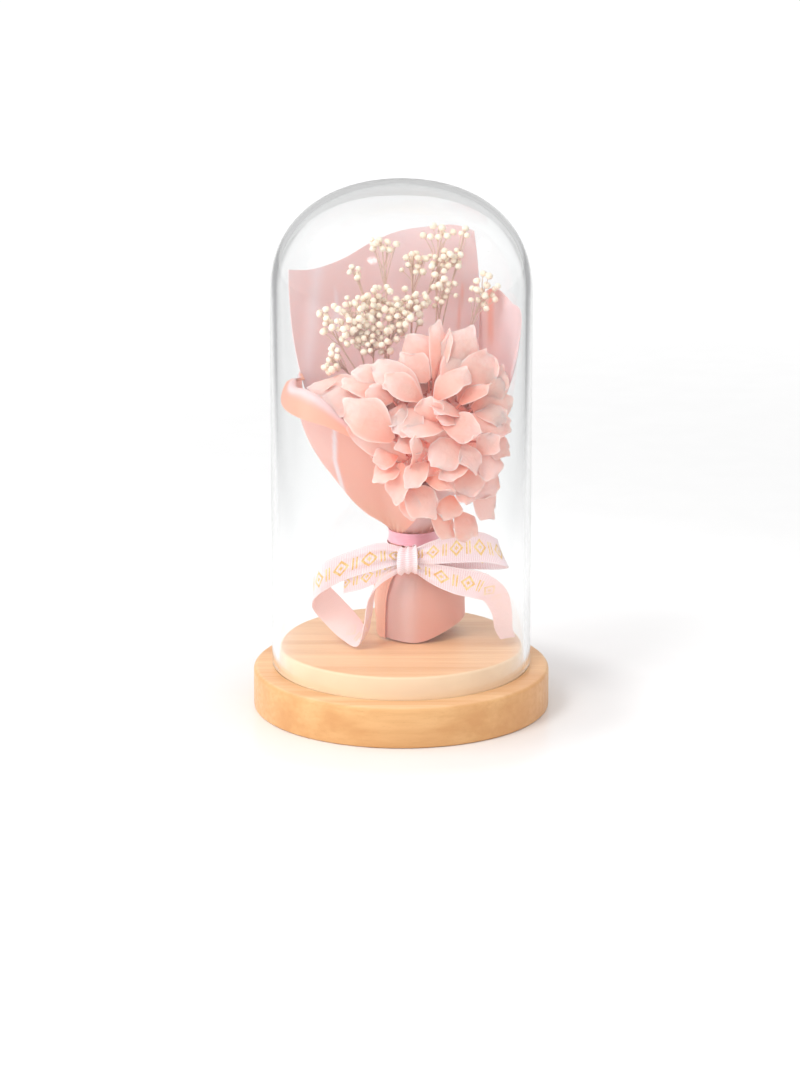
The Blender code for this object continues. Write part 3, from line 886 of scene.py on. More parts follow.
@dataclass
class WoodBase:
    """The round disc and the raised plateau on it, turned from one piece of beech."""

    radius: float = 60.0
    height: float = 17.0
    plateau_radius: float = 49.4
    plateau_top: float = 26.6
    edge: float = 1.9
    plateau_edge: float = 1.1
    under_edge: float = 1.2
    finish: BeechFinish = field(default_factory=BeechFinish)

    def build(self) -> bpy.types.Object:
        """Models the base from a cylinder: its top is inset and raised, its edges rounded.

        Returns:
            The base.
        """
        bpy.ops.object.select_all(action="DESELECT")
        bpy.ops.mesh.primitive_cylinder_add(
            vertices=192,
            radius=self.radius * MM,
            depth=self.height * MM,
            location=(0.0, 0.0, self.height / 2 * MM),
        )
        obj = bpy.context.object
        obj.name = "turned_base"
        bpy.ops.object.transform_apply(location=True, rotation=False, scale=False)
        bpy.ops.object.mode_set(mode="EDIT")
        self._select_cap(obj, self.height)
        bpy.ops.mesh.inset(thickness=(self.radius - self.plateau_radius) * MM, depth=0.0)
        rise = Vector((0.0, 0.0, (self.plateau_top - self.height) * MM))
        bpy.ops.mesh.extrude_region_move(TRANSFORM_OT_translate={"value": rise})
        self._round(obj, self.radius, self.height, self.edge, 6)
        self._round(obj, self.plateau_radius, self.plateau_top, self.plateau_edge, 5)
        self._round(obj, self.radius, 0.0, self.under_edge, 3)
        bpy.ops.mesh.select_all(action="SELECT")
        bpy.ops.mesh.normals_make_consistent(inside=False)
        bpy.ops.object.mode_set(mode="OBJECT")
        return finish(obj, self.finish.build(), ["wood_base"], "wood", 25.0)

    def _select_cap(self, obj: bpy.types.Object, height: float) -> None:
        """Selects the upward face at a height.

        Args:
            obj: The base, in edit mode.
            height: The face's height.
        """
        bpy.ops.mesh.select_mode(type="FACE")
        bpy.ops.mesh.select_all(action="DESELECT")
        shape = bmesh.from_edit_mesh(obj.data)
        for face in shape.faces:
            level = abs(face.calc_center_median().z / MM - height) < 0.1
            face.select_set(level and face.normal.z > 0.9)
        bmesh.update_edit_mesh(obj.data)

    def _round(
        self, obj: bpy.types.Object, radius: float, height: float, size: float, steps: int
    ) -> None:
        """Bevels the ring of edges at a radius and height.

        Args:
            obj: The base, in edit mode.
            radius: The ring's radius.
            height: Its height.
            size: The bevel's width.
            steps: Its segments.
        """
        bpy.ops.mesh.select_mode(type="EDGE")
        bpy.ops.mesh.select_all(action="DESELECT")
        shape = bmesh.from_edit_mesh(obj.data)
        for edge in shape.edges:
            on_ring = all(
                abs(vert.co.z / MM - height) < 0.05
                and abs(vert.co.xy.length / MM - radius) < 0.05
                for vert in edge.verts
            )
            edge.select_set(on_ring)
        bmesh.update_edit_mesh(obj.data)
        bpy.ops.mesh.bevel(offset=size * MM, segments=steps, affect="EDGES")


@dataclass
class GlassDome:
    """The bell glass: straight sides, a rounded top and a fire-polished foot."""

    radius: float = 52.5
    wall: float = 2.6
    spring: float = 171.5
    rise: float = 44.8
    power: float = 2.25
    foot: float = 17.3
    cap_steps: int = 36
    foot_steps: int = 8
    facets: int = 160
    finish: GlassFinish = field(default_factory=GlassFinish)

    def cap(self, radius: float, rise: float, steps: int) -> list[tuple[float, float]]:
        """The rounded top's profile from the apex to the springing line.

        Args:
            radius: Its radius at the springing line.
            rise: The apex's height above that.
            steps: The points after the apex.

        Returns:
            The radius and height of each point.
        """
        points = []
        for i in range(steps + 1):
            angle = math.radians(90 - 90 * i / steps)
            out = math.cos(angle) ** (2 / self.power) if i else 0.0
            up = math.sin(angle) ** (2 / self.power) if i < steps else 0.0
            points.append((radius * out, self.spring + rise * up))
        return points

    def build(self) -> bpy.types.Object:
        """Spins the wall's profile, outside down and inside up.

        Returns:
            The dome.
        """
        inner = self.radius - self.wall
        outside = self.cap(self.radius, self.rise, self.cap_steps)
        inside = self.cap(inner, self.rise - self.wall, self.cap_steps)
        # The last two keep the foot's rounding out of the tall faces' smooth shading.
        sides = [self.spring - 50.0, self.spring - 100.0, self.foot + 3.0, self.foot + 1.6]
        outside += [(self.radius, height) for height in sides]
        inside += [(inner, height) for height in sides]
        foot = []
        middle = self.radius - self.wall / 2
        for i in range(self.foot_steps + 1):
            angle = math.pi * i / self.foot_steps
            foot.append(
                (
                    middle + self.wall / 2 * math.cos(angle),
                    self.foot + self.wall / 2 * (1 - math.sin(angle)),
                )
            )
        obj = spun_profile("bell_glass", outside + foot + inside[::-1], self.facets)
        return finish(obj, self.finish.build(), ["glass_dome"], "glass", 50.0)

    def holds(self, point: Vector, margin: float) -> bool:
        """True where a point is inside the glass by at least a margin.

        Args:
            point: The point.
            margin: The distance that it keeps from the wall.

        Returns:
            Whether it is inside.
        """
        radius = self.radius - self.wall - margin
        out = math.hypot(point.x, point.y)
        if point.z <= self.spring:
            return out < radius
        up = (point.z - self.spring) / (self.rise - self.wall - margin)
        return up < 1 and (out / radius) ** self.power + up**self.power < 1


# The wrap


class Side(Enum):
    """Which sheet of the wrap a piece is."""

    BACK = "film_back"
    RIGHT = "film_right"
    FRONT = "film_front"


@dataclass
class FilmSheet:
    """One sheet of wrapping film: a skirt, gathers at the tie, a flared wall and a lip.

    The hem and top are points in order across the sheet; the arc at the tie runs from one
    angle to another. The lists are read smoothly across the sheet: bulge and fullness shape
    the wall, quick is the share that it spreads by straight above the tie, and at the top edge
    lip is the radius of the roll, roll its angle and cuff the length that hangs down past it.
    Up the sheet, the skirt, the tie and a wall with a lip end at the shares named for them.
    """

    side: Side
    hem: list[Spot]
    arc: tuple[float, float]
    radius: float
    top: list[Spot]
    bulge: list[float]
    fullness: list[float]
    finish: FilmFinish
    slot: str
    flat: tuple[float, float]
    lip: list[float] = field(default_factory=list)
    roll: list[float] = field(default_factory=list)
    cuff: list[float] = field(default_factory=lambda: [0.0, 0.0])
    quick: list[float] = field(default_factory=lambda: [0.0, 0.0])
    gathers: int = 9
    gather_depth: float = 0.35
    waves: float = 0.6
    columns: int = 64
    rows: int = 92
    waist_low: float = 58.8
    waist_high: float = 71.8
    skirt_share: float = 0.24
    tie_share: float = 0.30
    wall_share: float = 0.8
    roll_share: float = 0.55

    def waist(self, across: float) -> tuple[Vector, Vector]:
        """The point at the tie and the direction straight out from its middle there."""
        angle = math.radians(self.arc[0] + (self.arc[1] - self.arc[0]) * across)
        out = Vector((math.cos(angle), math.sin(angle), 0.0))
        return WAIST + out * self.radius, out

    def pleat(self, across: float, nearness: float) -> float:
        """How far the gathers push the sheet in and out near the tie."""
        wave = math.sin(math.tau * self.gathers * across + 1.3 * math.sin(9.0 * across))
        return self.gather_depth * wave * nearness

    def skirt(self, across: float, drop: float) -> Vector:
        """A point below the tie: drop is 0 at the tie and 1 at the hem.

        Args:
            across: The place across the sheet.
            drop: The place down it.

        Returns:
            The point.
        """
        start, out = self.waist(across)
        end = smooth([Vector(point) for point in self.hem], across)
        spread = 1 - (1 - drop) ** 4
        point = start.lerp(end, spread)
        point += out * self.pleat(across, (1 - drop) ** 2)
        point.z = self.waist_low + (end.z - self.waist_low) * drop
        return point

    def wall(self, across: float, rise: float) -> Vector:
        """A point above the tie: rise is 0 at the tie and 1 at the top edge.

        Args:
            across: The place across the sheet.
            rise: The place up it.

        Returns:
            The point.
        """
        start, out = self.waist(across)
        end = smooth([Vector(point) for point in self.top], across)
        spread = 1 - (1 - rise) ** smooth(self.fullness, across)
        spread += smooth(self.quick, across) * ease(rise / 0.1) * (1 - ease((rise - 0.1) / 0.32))
        point = start.lerp(end, spread)
        point += out * smooth(self.bulge, across) * math.sin(math.pi * rise)
        point += out * self.pleat(across, max(0.0, 1 - rise / 0.3) ** 2)
        wave = math.sin(5.0 * across * math.pi + 2.0 * rise) * ease(rise)
        point += out * self.waves * wave * math.sin(math.pi * min(rise, 0.95))
        point.z = self.waist_high + (end.z - self.waist_high) * rise
        return point

    def rim(self, across: float, turn: float) -> Vector:
        """A point on the lip that rolls outwards from the top edge: turn is from 0 to 1.

        Args:
            across: The place across the sheet.
            turn: The place along roll and cuff.

        Returns:
            The point.
        """
        edge = self.wall(across, 1.0)
        rise = (edge - self.wall(across, 0.97)).normalized()
        before = self.wall(max(across - 0.06, 0.0), 1.0)
        after = self.wall(min(across + 0.06, 1.0), 1.0)
        out = (after - before).cross(rise).normalized()
        if out.y > 0:
            out = -out
        radius = smooth(self.lip, across)
        angle = math.radians(smooth(self.roll, across)) * min(turn / self.roll_share, 1.0)
        point = edge + out * radius * (1 - math.cos(angle)) + rise * radius * math.sin(angle)
        past = max(0.0, turn - self.roll_share) / (1 - self.roll_share)
        drop = smooth(self.cuff, across) * past
        return point + (out * math.sin(angle) + rise * math.cos(angle)) * drop

    def place(self, across: float, along: float) -> Vector:
        """A point of the sheet for the shaped grid, from hem to lip.

        Args:
            across: The place across the sheet.
            along: The place up it.

        Returns:
            The point.
        """
        if along < self.skirt_share:
            return self.skirt(across, 1 - along / self.skirt_share)
        if along < self.tie_share:
            share = (along - self.skirt_share) / (self.tie_share - self.skirt_share)
            return self.skirt(across, 0.0).lerp(self.wall(across, 0.0), share)
        top = self.wall_share if self.lip else 1.0
        if along <= top:
            return self.wall(across, ((along - self.tie_share) / (top - self.tie_share)) ** 1.15)
        return self.rim(across, (along - top) / (1 - top))

    def build(self) -> bpy.types.Object:
        """Shapes the sheet, stores its painted highlights and deeper colour on its points, and
        thickens it.

        Returns:
            The sheet.
        """
        marks = {"rise": self.rise, "painted_highlight": self.painted_highlight}
        obj = shaped_grid(
            f"wrap_{self.side.value}", self.columns, self.rows, self.place, marks
        )
        area = sum(face.area for face in obj.data.polygons)
        LOG.info("%s: %.5f square metres", obj.name, area)
        thicken(obj, 0.3)
        made = finish(obj, self.finish.build(), [self.side.value], self.slot, 80.0)
        return made

    def rise(self, across: float, along: float) -> float:
        """How far a place is from the film's deeper colour: low down by the tie it is the film's
        own tone, and in a crease, a fold and under the lip's roll it is painted shade.

        Args:
            across: The place across the sheet.
            along: The place up it.

        Returns:
            The share, from 0 to 1.
        """
        up = ease((along - self.tie_share) / 0.25)
        if self.side is Side.FRONT:
            # Painted shade under the lip's roll and on its cuff.
            return up * (1 - ease((along - 0.905) / 0.05))
        point = self.place(across, along)
        if self.side is Side.BACK:
            # Painted shadow in a crease high on the back sheet.
            crease = ease(1 - abs(point.x - 24.4 - 0.12 * (point.z - 158)) / 1.6)
            return up * (1 - 0.8 * crease * ease(2.2 - abs(point.z - 158) / 6))
        # Painted shade in a fold of the right sheet, high up.
        return up * (1 - 0.9 * ease(1 - abs(point.x - 36.8) / 2.2) * ease((point.z - 140) / 10))

    def painted_highlight(self, across: float, along: float) -> float:
        """How much painted highlight shows at a place.

        Args:
            across: The place across the sheet.
            along: The place up it.

        Returns:
            The share, from 0 to 1.
        """
        point = self.place(across, along)
        # Painted highlights on the back sheet: along its left fold and in a pale streak.
        if self.side is Side.BACK:
            near = abs(point.x + 37.0 - 0.10 * (point.z - 150))
            highlight_streak = 0.8 * ease(1.4 - abs(point.x + 26.8) / 1.0)
            highlight_streak *= ease((point.z - 134) / 6) * ease((169 - point.z) / 6)
            return max(0.6 * max(0.0, 1 - near / 4.0), highlight_streak)
        # Painted highlights on the front sheet: the lip's crest, a paler strip left of a crease
        # and a streak along it.
        if self.side is Side.FRONT:
            past = along - self.wall_share
            if past > 0:
                return 0.7 * ease(past / 0.03) * (1 - ease((past - 0.085) / 0.05))
            line = -26.5 + 0.20 * max(0.0, 105 - point.z)
            side = 0.22 * ease((line - point.x) / 1.0)
            highlight_streak = 0.85 * ease(1.3 - abs(point.x - line) / 1.1) * ease((point.z - 80) / 10)
            return max(side * ease((point.z - 84) / 20), highlight_streak)
        # Painted highlights on the right sheet: a sheen down the skirt's left and its rolled right
        # edge.
        skirt = 0.36 * ease((58 - point.z) / 6) * (1 - ease((point.x - 1) / 9))
        return max(skirt, 0.5 * ease((point.x - 36) / 8) * ease((point.z - 120) / 20))


# The flower head


@dataclass
class Petal:
    """One sepal: from a narrow claw it widens, arches, dishes and ruffles to a blunt tip."""

    root: Vector
    tip: Vector
    width: float
    facing: Vector
    arch: float = 0.06
    dish: float = 0.15
    fold: float = 0.0
    ruffle: float = 0.05
    phase: float = 0.0
    twist: float = 0.0
    curl: float = 0.0
    point: float = 0.05

    def half(self, s: float, side: float) -> float:
        """Half the width as a share of the whole half-width.

        Args:
            s: From claw to tip.
            side: -1 or 1, the left or right margin, which are waved a little unlike.

        Returns:
            The share.
        """
        widest = 0.56
        wave = 1 + 0.09 * math.sin(8.5 * s + self.phase + 2.0 * side) * s
        wave += 0.04 * math.sin(19.0 * s + 2.0 * self.phase - side) * s
        if s < widest:
            return wave * (0.18 + 0.82 * math.sin(math.pi / 2 * s / widest) ** 0.95)
        return wave * math.sqrt(1 - ((0.8 + self.point) * (s - widest) / (1 - widest)) ** 2)

    def surface(self, u: float, s: float) -> Vector:
        """A point of the sepal: u from 0 to 1 across it and s from claw to tip.

        Args:
            u: The place across.
            s: The place along.

        Returns:
            The point.
        """
        edge = 2 * u - 1
        length = (self.tip - self.root).length
        along = (self.tip - self.root).normalized()
        normal = (self.facing - along * self.facing.dot(along)).normalized()
        turn = Matrix.Rotation(self.twist * (s - 0.3), 3, along)
        normal = turn @ normal
        side = along.cross(normal)
        half = self.width / 2 * self.half(s, math.copysign(1.0, edge))
        reach = length * s - (0.11 + self.point) * self.width * edge * edge * s * s
        reach += 0.035 * length * math.sin(self.phase + 4.0 * edge) * s**4
        bow = self.arch * length * math.sin(math.pi * min(s, 0.92))
        bow += self.dish * half * edge * edge * s
        bow -= self.fold * half * math.sqrt(edge * edge + 0.03)
        bow -= self.curl * length * max(0.0, s - 0.55) ** 2
        wave = math.sin(self.phase + 5.0 * s + 2.6 * edge)
        wave += 0.6 * math.sin(1.7 * self.phase + 9.0 * s - 3.4 * edge)
        wave += 0.5 * math.sin(0.6 * self.phase + 4.0 * s + 7.0 * edge) * s
        bow += self.ruffle * self.width * wave * (0.2 + 0.8 * edge * edge) * s**1.3
        return self.root + along * reach + side * edge * half + normal * bow

    def build(
        self, name: str, columns: int, rows: int, pale: float, dust: float
    ) -> bpy.types.Object:
        """Shapes the sepal and stores its shades.

        Args:
            name: Its name.
            columns: Faces across it.
            rows: Faces along it.
            pale: How pale it is.
            dust: How dusty it is.

        Returns:
            The sepal.
        """
        obj = shaped_grid(name, columns, rows, self.surface)
        tone(obj, "pale", pale)
        tone(obj, "dust", dust)
        return obj


@dataclass
class HydrangeaHead:
    """The hydrangea: sepals set one by one in front, whole florets behind and round them."""

    core: Vector = field(default_factory=lambda: Vector((11.0, -5.0, 114.0)))
    seed: int = 7
    florets: int = 62
    widening: float = 1.22
    finish: PetalFinish = field(default_factory=PetalFinish)
    stalk_finish: StalkFinish = field(
        default_factory=lambda: StalkFinish((0.95, 0.28, 0.20), "coral_stalk")
    )
    # Claw across and up, tip across and up, width, how proud the tip and claw stand, and the
    # lean of the sepal's face to the right and upwards.
    sepals: list[tuple[float, ...]] = field(
        default_factory=lambda: [
            (11.0, 25.4, 4.0, 43.5, 17.0, 0, -5, -0.2, 0.2),
            (10.7, 24.5, -0.5, 35.5, 11.0, 3, -3, -0.3, 0.5),
            (12.8, 25.4, 14.9, 48.6, 8.5, -1, -4, 0.9, 0.1),
            (14.5, 24.5, 18.5, 45.5, 8.0, 0, -5, -0.7, 0.2),
            (16.7, 23.7, 28.9, 46.6, 14.5, -1, -5, 0.2, 0.1),
            (16.7, 23.7, 25.5, 36.5, 10.0, 2, -3, 0.5, 0.6),
            (13.4, 17.1, 26.3, 30.5, 11.0, 5, -1, -0.5, 0.5),
            (23.2, 15.8, 35.9, 36.3, 13.0, 2, -3, 0.4, 0.2),
            (23.2, 15.4, 35.5, 23.8, 7.0, 4, 0, 0.1, 1.5),
            (33.7, 19.3, 40.7, 31.0, 10.0, 0, -4, 0.3, 0.3),
            (33.0, 17.0, 41.8, 26.0, 8.0, 1, -3, 0.6, 0.3),
            (8.1, 17.4, -11.5, 32.3, 11.0, 2, -2, -0.2, 0.9),
            (8.1, 16.7, -6.5, 26.5, 9.0, 4, -1, -0.1, 0.5),
            (-4.5, 18.5, -23.5, 25.0, 10.0, 1, -2, -0.2, 0.9),
            (-3.4, 16.7, -13.8, 20.8, 8.5, 3, -2, -0.2, 0.4),
            (-5.0, 22.0, -19.0, 29.0, 9.0, -1, -5, -0.4, 0.8),
            (-3.4, 1.0, -22.5, 16.9, 14.0, 4, 0, -0.3, 0.4),
            (1.8, -7.0, -20.5, 8.5, 10.0, -1, -5, -0.4, -0.3),
            (-12.0, 15.0, -34.0, 19.5, 13.0, 1, -4, -0.3, 0.7),
            (-14.0, 19.0, -37.0, 24.0, 12.0, -3, -6, -0.2, 0.6),
            (-10.0, 9.0, -30.0, 14.0, 11.0, -2, -6, -0.3, 0.5),
            (7.1, 14.0, -1.2, 2.5, 10.5, 2, -3, -0.3, 0.1),
            (1.0, 15.5, -4.5, 6.5, 8.0, 1, -3, -0.6, 0.1),
            (12.3, 7.5, 9.9, 18.2, 10.0, 3, -2, -0.2, 0.1),
            (23.7, 11.0, 11.5, 14.8, 7.5, 3, -1, 0.0, 1.2),
            (24.0, 9.0, 13.5, 10.0, 6.5, 2, -2, 0.1, 0.9),
            (28.0, 13.4, 44.3, 16.5, 11.0, 1, -3, 0.5, 0.5),
            (26.3, 9.7, 43.6, 6.0, 10.0, 2, -2, 0.4, 0.3),
            (29.0, 12.0, 42.0, 11.0, 9.0, 3, -2, 0.3, 0.8),
            (17.1, 5.9, 0.3, 4.2, 9.0, 3, -1, 0.0, 1.0),
            (16.2, 7.5, 31.6, 4.9, 11.0, 5, 0, 0.1, 0.5),
            (3.6, -10.0, 5.2, 3.2, 6.0, 4, -1, 1.6, 0.0),
            (23.7, -0.3, 10.8, -8.9, 11.5, 3, -2, 0.0, 0.2),
            (24.6, -0.8, 29.2, -12.6, 9.0, 4, -1, 0.6, 0.0),
            (26.3, -4.3, 15.4, -14.2, 9.0, 3, -2, -0.1, 0.5),
            (30.2, -4.3, 38.0, 3.0, 8.0, 2, -3, 0.3, 0.5),
            (35.5, 1.0, 42.6, -4.8, 9.0, 1, -3, 0.6, 0.2),
            (29.8, -6.8, 39.8, -9.8, 12.0, 1, -3, 0.5, 0.1),
            (28.9, -11.3, 38.2, -20.5, 12.0, 0, -3, 0.5, 0.0),
            (25.0, -10.5, 27.0, -22.0, 11.0, 1, -3, 0.2, 0.2),
            (0.1, -8.0, -2.1, -24.6, 9.0, 2, -3, -0.4, 0.0),
            (-0.8, -8.7, -11.2, -15.0, 9.5, 1, -4, -0.5, 0.4),
            (-1.5, -5.0, -11.3, -7.0, 8.5, 0, -4, -0.5, 0.3),
            (10.1, -7.8, 1.6, -17.6, 8.0, 3, -2, -0.3, 0.3),
            (9.7, -14.4, 21.4, -18.6, 7.5, 3, -1, 0.1, 0.9),
            (1.8, -17.4, 13.8, -29.9, 11.5, 1, -3, 0.1, 0.2),
            (2.7, -18.0, 4.6, -30.8, 7.5, 0, -4, -0.5, 0.1),
            (21.5, -17.4, 29.2, -22.9, 8.5, 1, -2, 0.2, 0.4),
            (12.3, -29.0, 21.7, -36.9, 8.5, -1, -4, 0.0, 0.3),
            (21.9, -27.8, 28.3, -38.6, 9.0, -1, -4, 0.2, 0.2),
            (28.9, -19.2, 37.5, -29.9, 10.5, -1, -4, 0.5, 0.1),
            (20.0, -21.0, 17.5, -31.5, 9.0, -1, -4, 0.0, 0.2),
            (9.0, 0.0, -2.5, -2.5, 9.0, 1, -4, -0.3, 0.3),
            (13.5, -1.0, 13.0, 6.5, 8.0, 0, -4, 0.0, 0.4),
        ]
    )

    def front(self, across: float, up: float) -> float:
        """How far the head's front stands towards the viewer at a place."""
        inside = 1 - ((across - 3) / 46) ** 2 - (up / 42) ** 2
        return 3 + 27 * math.sqrt(max(inside, 0.05))

    def shades(self, rng: random.Random, across: float, up: float) -> tuple[float, float]:
        """How pale and how dusty a sepal is, from where it stands."""
        dusty = ease((across - 22) / 16) * ease((14 - up) / 24)
        return rng.uniform(0.0, 0.28), min(0.85, 0.75 * dusty + rng.uniform(0.0, 0.08))

    def front_sepals(self, rng: random.Random) -> list[bpy.types.Object]:
        """The sepals that the front view shows one by one.

        Args:
            rng: The source of their variation.

        Returns:
            The sepals.
        """
        made = []
        for i, sepal in enumerate(self.sepals):
            claw_a, claw_b, tip_a, tip_b, width, proud, deep, lean_a, lean_b = sepal
            root = sight_point(claw_a, claw_b, self.front(claw_a, claw_b) + deep)
            tip = sight_point(tip_a, tip_b, self.front(tip_a, tip_b) + proud)
            facing = sight_point(lean_a, lean_b, 1.0) - sight_point(0.0, 0.0, 0.0)
            petal = Petal(
                root,
                tip,
                self.widening * width,
                facing,
                arch=rng.uniform(0.04, 0.12),
                dish=rng.uniform(-0.15, 0.35),
                fold=rng.uniform(0.0, 0.34),
                ruffle=rng.uniform(0.07, 0.13),
                phase=rng.uniform(0.0, 6.28),
                twist=rng.uniform(-0.5, 0.5),
                curl=rng.uniform(-0.1, 0.35),
                point=rng.uniform(0.0, 0.12),
            )
            pale, dust = self.shades(rng, tip_a, tip_b)
            made.append(petal.build(f"sepal_{i}", 10, 13, pale, dust))
        return made

    def floret(
        self, rng: random.Random, centre: Vector, outward: Vector, size: float, name: str
    ) -> list[bpy.types.Object]:
        """Four sepals round an eye.

        Args:
            rng: The source of its variation.
            centre: The eye.
            outward: The way the floret faces.
            size: The length of a sepal.
            name: The start of the sepals' names.

        Returns:
            The sepals.
        """
        side = outward.orthogonal().normalized()
        other = outward.cross(side)
        turn = rng.uniform(0.0, math.tau)
        made = []
        for k in range(4):
            angle = turn + math.pi / 2 * k + rng.uniform(-0.25, 0.25)
            spoke = side * math.cos(angle) + other * math.sin(angle)
            length = size * rng.uniform(0.88, 1.12)
            tip = centre + spoke * length + outward * length * rng.uniform(0.0, 0.45)
            petal = Petal(
                centre,
                tip,
                length * rng.uniform(0.85, 1.05),
                outward,
                arch=rng.uniform(0.02, 0.1),
                dish=rng.uniform(-0.15, 0.35),
                fold=rng.uniform(0.0, 0.34),
                ruffle=rng.uniform(0.07, 0.13),
                phase=rng.uniform(0.0, 6.28),
                twist=rng.uniform(-0.5, 0.5),
                curl=rng.uniform(0.0, 0.4),
                point=rng.uniform(0.0, 0.12),
            )
            pale, dust = self.shades(rng, tip.x, tip.z - SIGHT_HEIGHT)
            made.append(petal.build(f"{name}_{k}", 6, 8, 0.5 * pale, dust))
        return made

    def filler(
        self, rng: random.Random, walls: BVHTree
    ) -> tuple[list[bpy.types.Object], list[Vector]]:
        """Florets behind the front sepals and round the sides, clear of the wrap.

        Args:
            rng: The source of their places.
            walls: The wrap's sheets.

        Returns:
            Their sepals, and the eyes that they grow from.
        """
        made = []
        eyes = []
        golden = math.pi * (3 - math.sqrt(5))
        for i in range(self.florets):
            lift = 1 - 2 * (i + 0.5) / self.florets
            flat = math.sqrt(1 - lift * lift)
            spin = golden * i
            outward = Vector((flat * math.cos(spin), flat * math.sin(spin), lift))
            facing = -outward.y * math.cos(SIGHT_TILT) + outward.z * math.sin(SIGHT_TILT)
            share = 1 - 0.38 * ease((facing - 0.1) / 0.5)
            reach = Vector((outward.x * 24, outward.y * 17, outward.z * 25)) * share
            centre = self.core + Vector((1.0, 0.0, 0.0)) + reach
            size = rng.uniform(9.0, 11.5)
            room = walls.find_nearest(centre)[3]
            if room < size * 0.72 or not self.inside(centre, walls):
                continue
            made += self.floret(rng, centre, outward, size, f"floret_{i}")
            eyes.append(centre)
        return made, eyes

    def inside(self, point: Vector, walls: BVHTree) -> bool:
        """True where the straight way from the core to a point meets no film."""
        way = point - self.core
        return walls.ray_cast(self.core, way.normalized(), way.length + 6)[0] is None

    def heart(self) -> bpy.types.Object:
        """The close-packed middle that shows as a deep coral between the sepals.

        Returns:
            The middle.
        """
        bpy.ops.object.select_all(action="DESELECT")
        bpy.ops.mesh.primitive_ico_sphere_add(subdivisions=4, radius=1.0)
        obj = bpy.context.object
        for vert in obj.data.vertices:
            way = vert.co.normalized()
            lump = 1 + 0.07 * math.sin(9 * way.x + 4 * way.z) * math.sin(11 * way.y - 7 * way.z)
            size = Vector((way.x * 17.5, way.y * 11.5, way.z * 19.0)) * lump
            vert.co = (self.core + Vector((0.5, 0.0, 0.0)) + size) * MM
        return obj

    def stalks(self, eyes: list[Vector]) -> bpy.types.Object:
        """The flower's stem and a stalk to each eye.

        Args:
            eyes: The florets' eyes.

        Returns:
            The stem and stalks as one mesh.
        """
        foot = Vector((4.8, 6.5, FLOOR + 0.2))
        lines = [[self.core, Vector((6.5, 2.0, 84.0)), Vector((4.5, 5.5, 68.0)), foot]]
        for eye in eyes:
            middle = self.core.lerp(eye, 0.5) + Vector((0.0, 0.0, -1.5))
            lines.append([self.core, middle, eye])
        return stems("flower_stalks", lines, [1.9] + [0.55] * len(eyes))

    def build(self, walls: BVHTree) -> bpy.types.Object:
        """Makes the sepals and stalks, each kind joined into one piece.

        Args:
            walls: The wrap's sheets, which the hidden florets keep clear of.

        Returns:
            The sepals.
        """
        rng = random.Random(self.seed)
        made = self.front_sepals(rng)
        eyes = [
            sight_point(s[0], s[1], self.front(s[0], s[1]) + s[6]) for s in self.sepals[::2]
        ]
        more, more_eyes = self.filler(rng, walls)
        head = join("hydrangea_sepals", made + more)
        thicken(head, 0.16)
        finish(head, self.finish.build(), ["hydrangea_head"], "petals", 80.0)
        stalks = join("flower_stalks", [self.stalks(eyes + more_eyes), self.heart()])
        finish(stalks, self.stalk_finish.build(), ["hydrangea_head"], "petals", 60.0)
        return head


def stems(name: str, lines: list[list[Vector]], radii: list[float]) -> bpy.types.Object:
    """Thin round stems along smooth lines, as one mesh.

    Args:
        name: The object's name.
        lines: The points of each stem, in millimetres.
        radii: Each stem's radius.

    Returns:
        The mesh.
    """
    curve = bpy.data.curves.new(name, "CURVE")
    curve.dimensions = "3D"
    curve.bevel_depth = MM
    curve.bevel_resolution = 1
    curve.use_fill_caps = True
    for points, radius in zip(lines, radii):
        count = 3 * (len(points) - 1) + 1
        spline = curve.splines.new("POLY")
        spline.points.add(count - 1)
        for i in range(count):
            place = smooth(points, i / (count - 1)) * MM
            spline.points[i].co = (*place, 1.0)
            spline.points[i].radius = radius * (1 - 0.25 * i / (count - 1))
    obj = bpy.data.objects.new(name, curve)
    bpy.context.scene.collection.objects.link(obj)
    select_only(obj)
    bpy.ops.object.convert(target="MESH")
    obj = bpy.context.object
    bpy.ops.object.mode_set(mode="EDIT")
    bpy.ops.mesh.select_all(action="SELECT")
    bpy.ops.mesh.remove_doubles(threshold=0.000001)
    bpy.ops.object.mode_set(mode="OBJECT")
    return obj


# The baby's breath


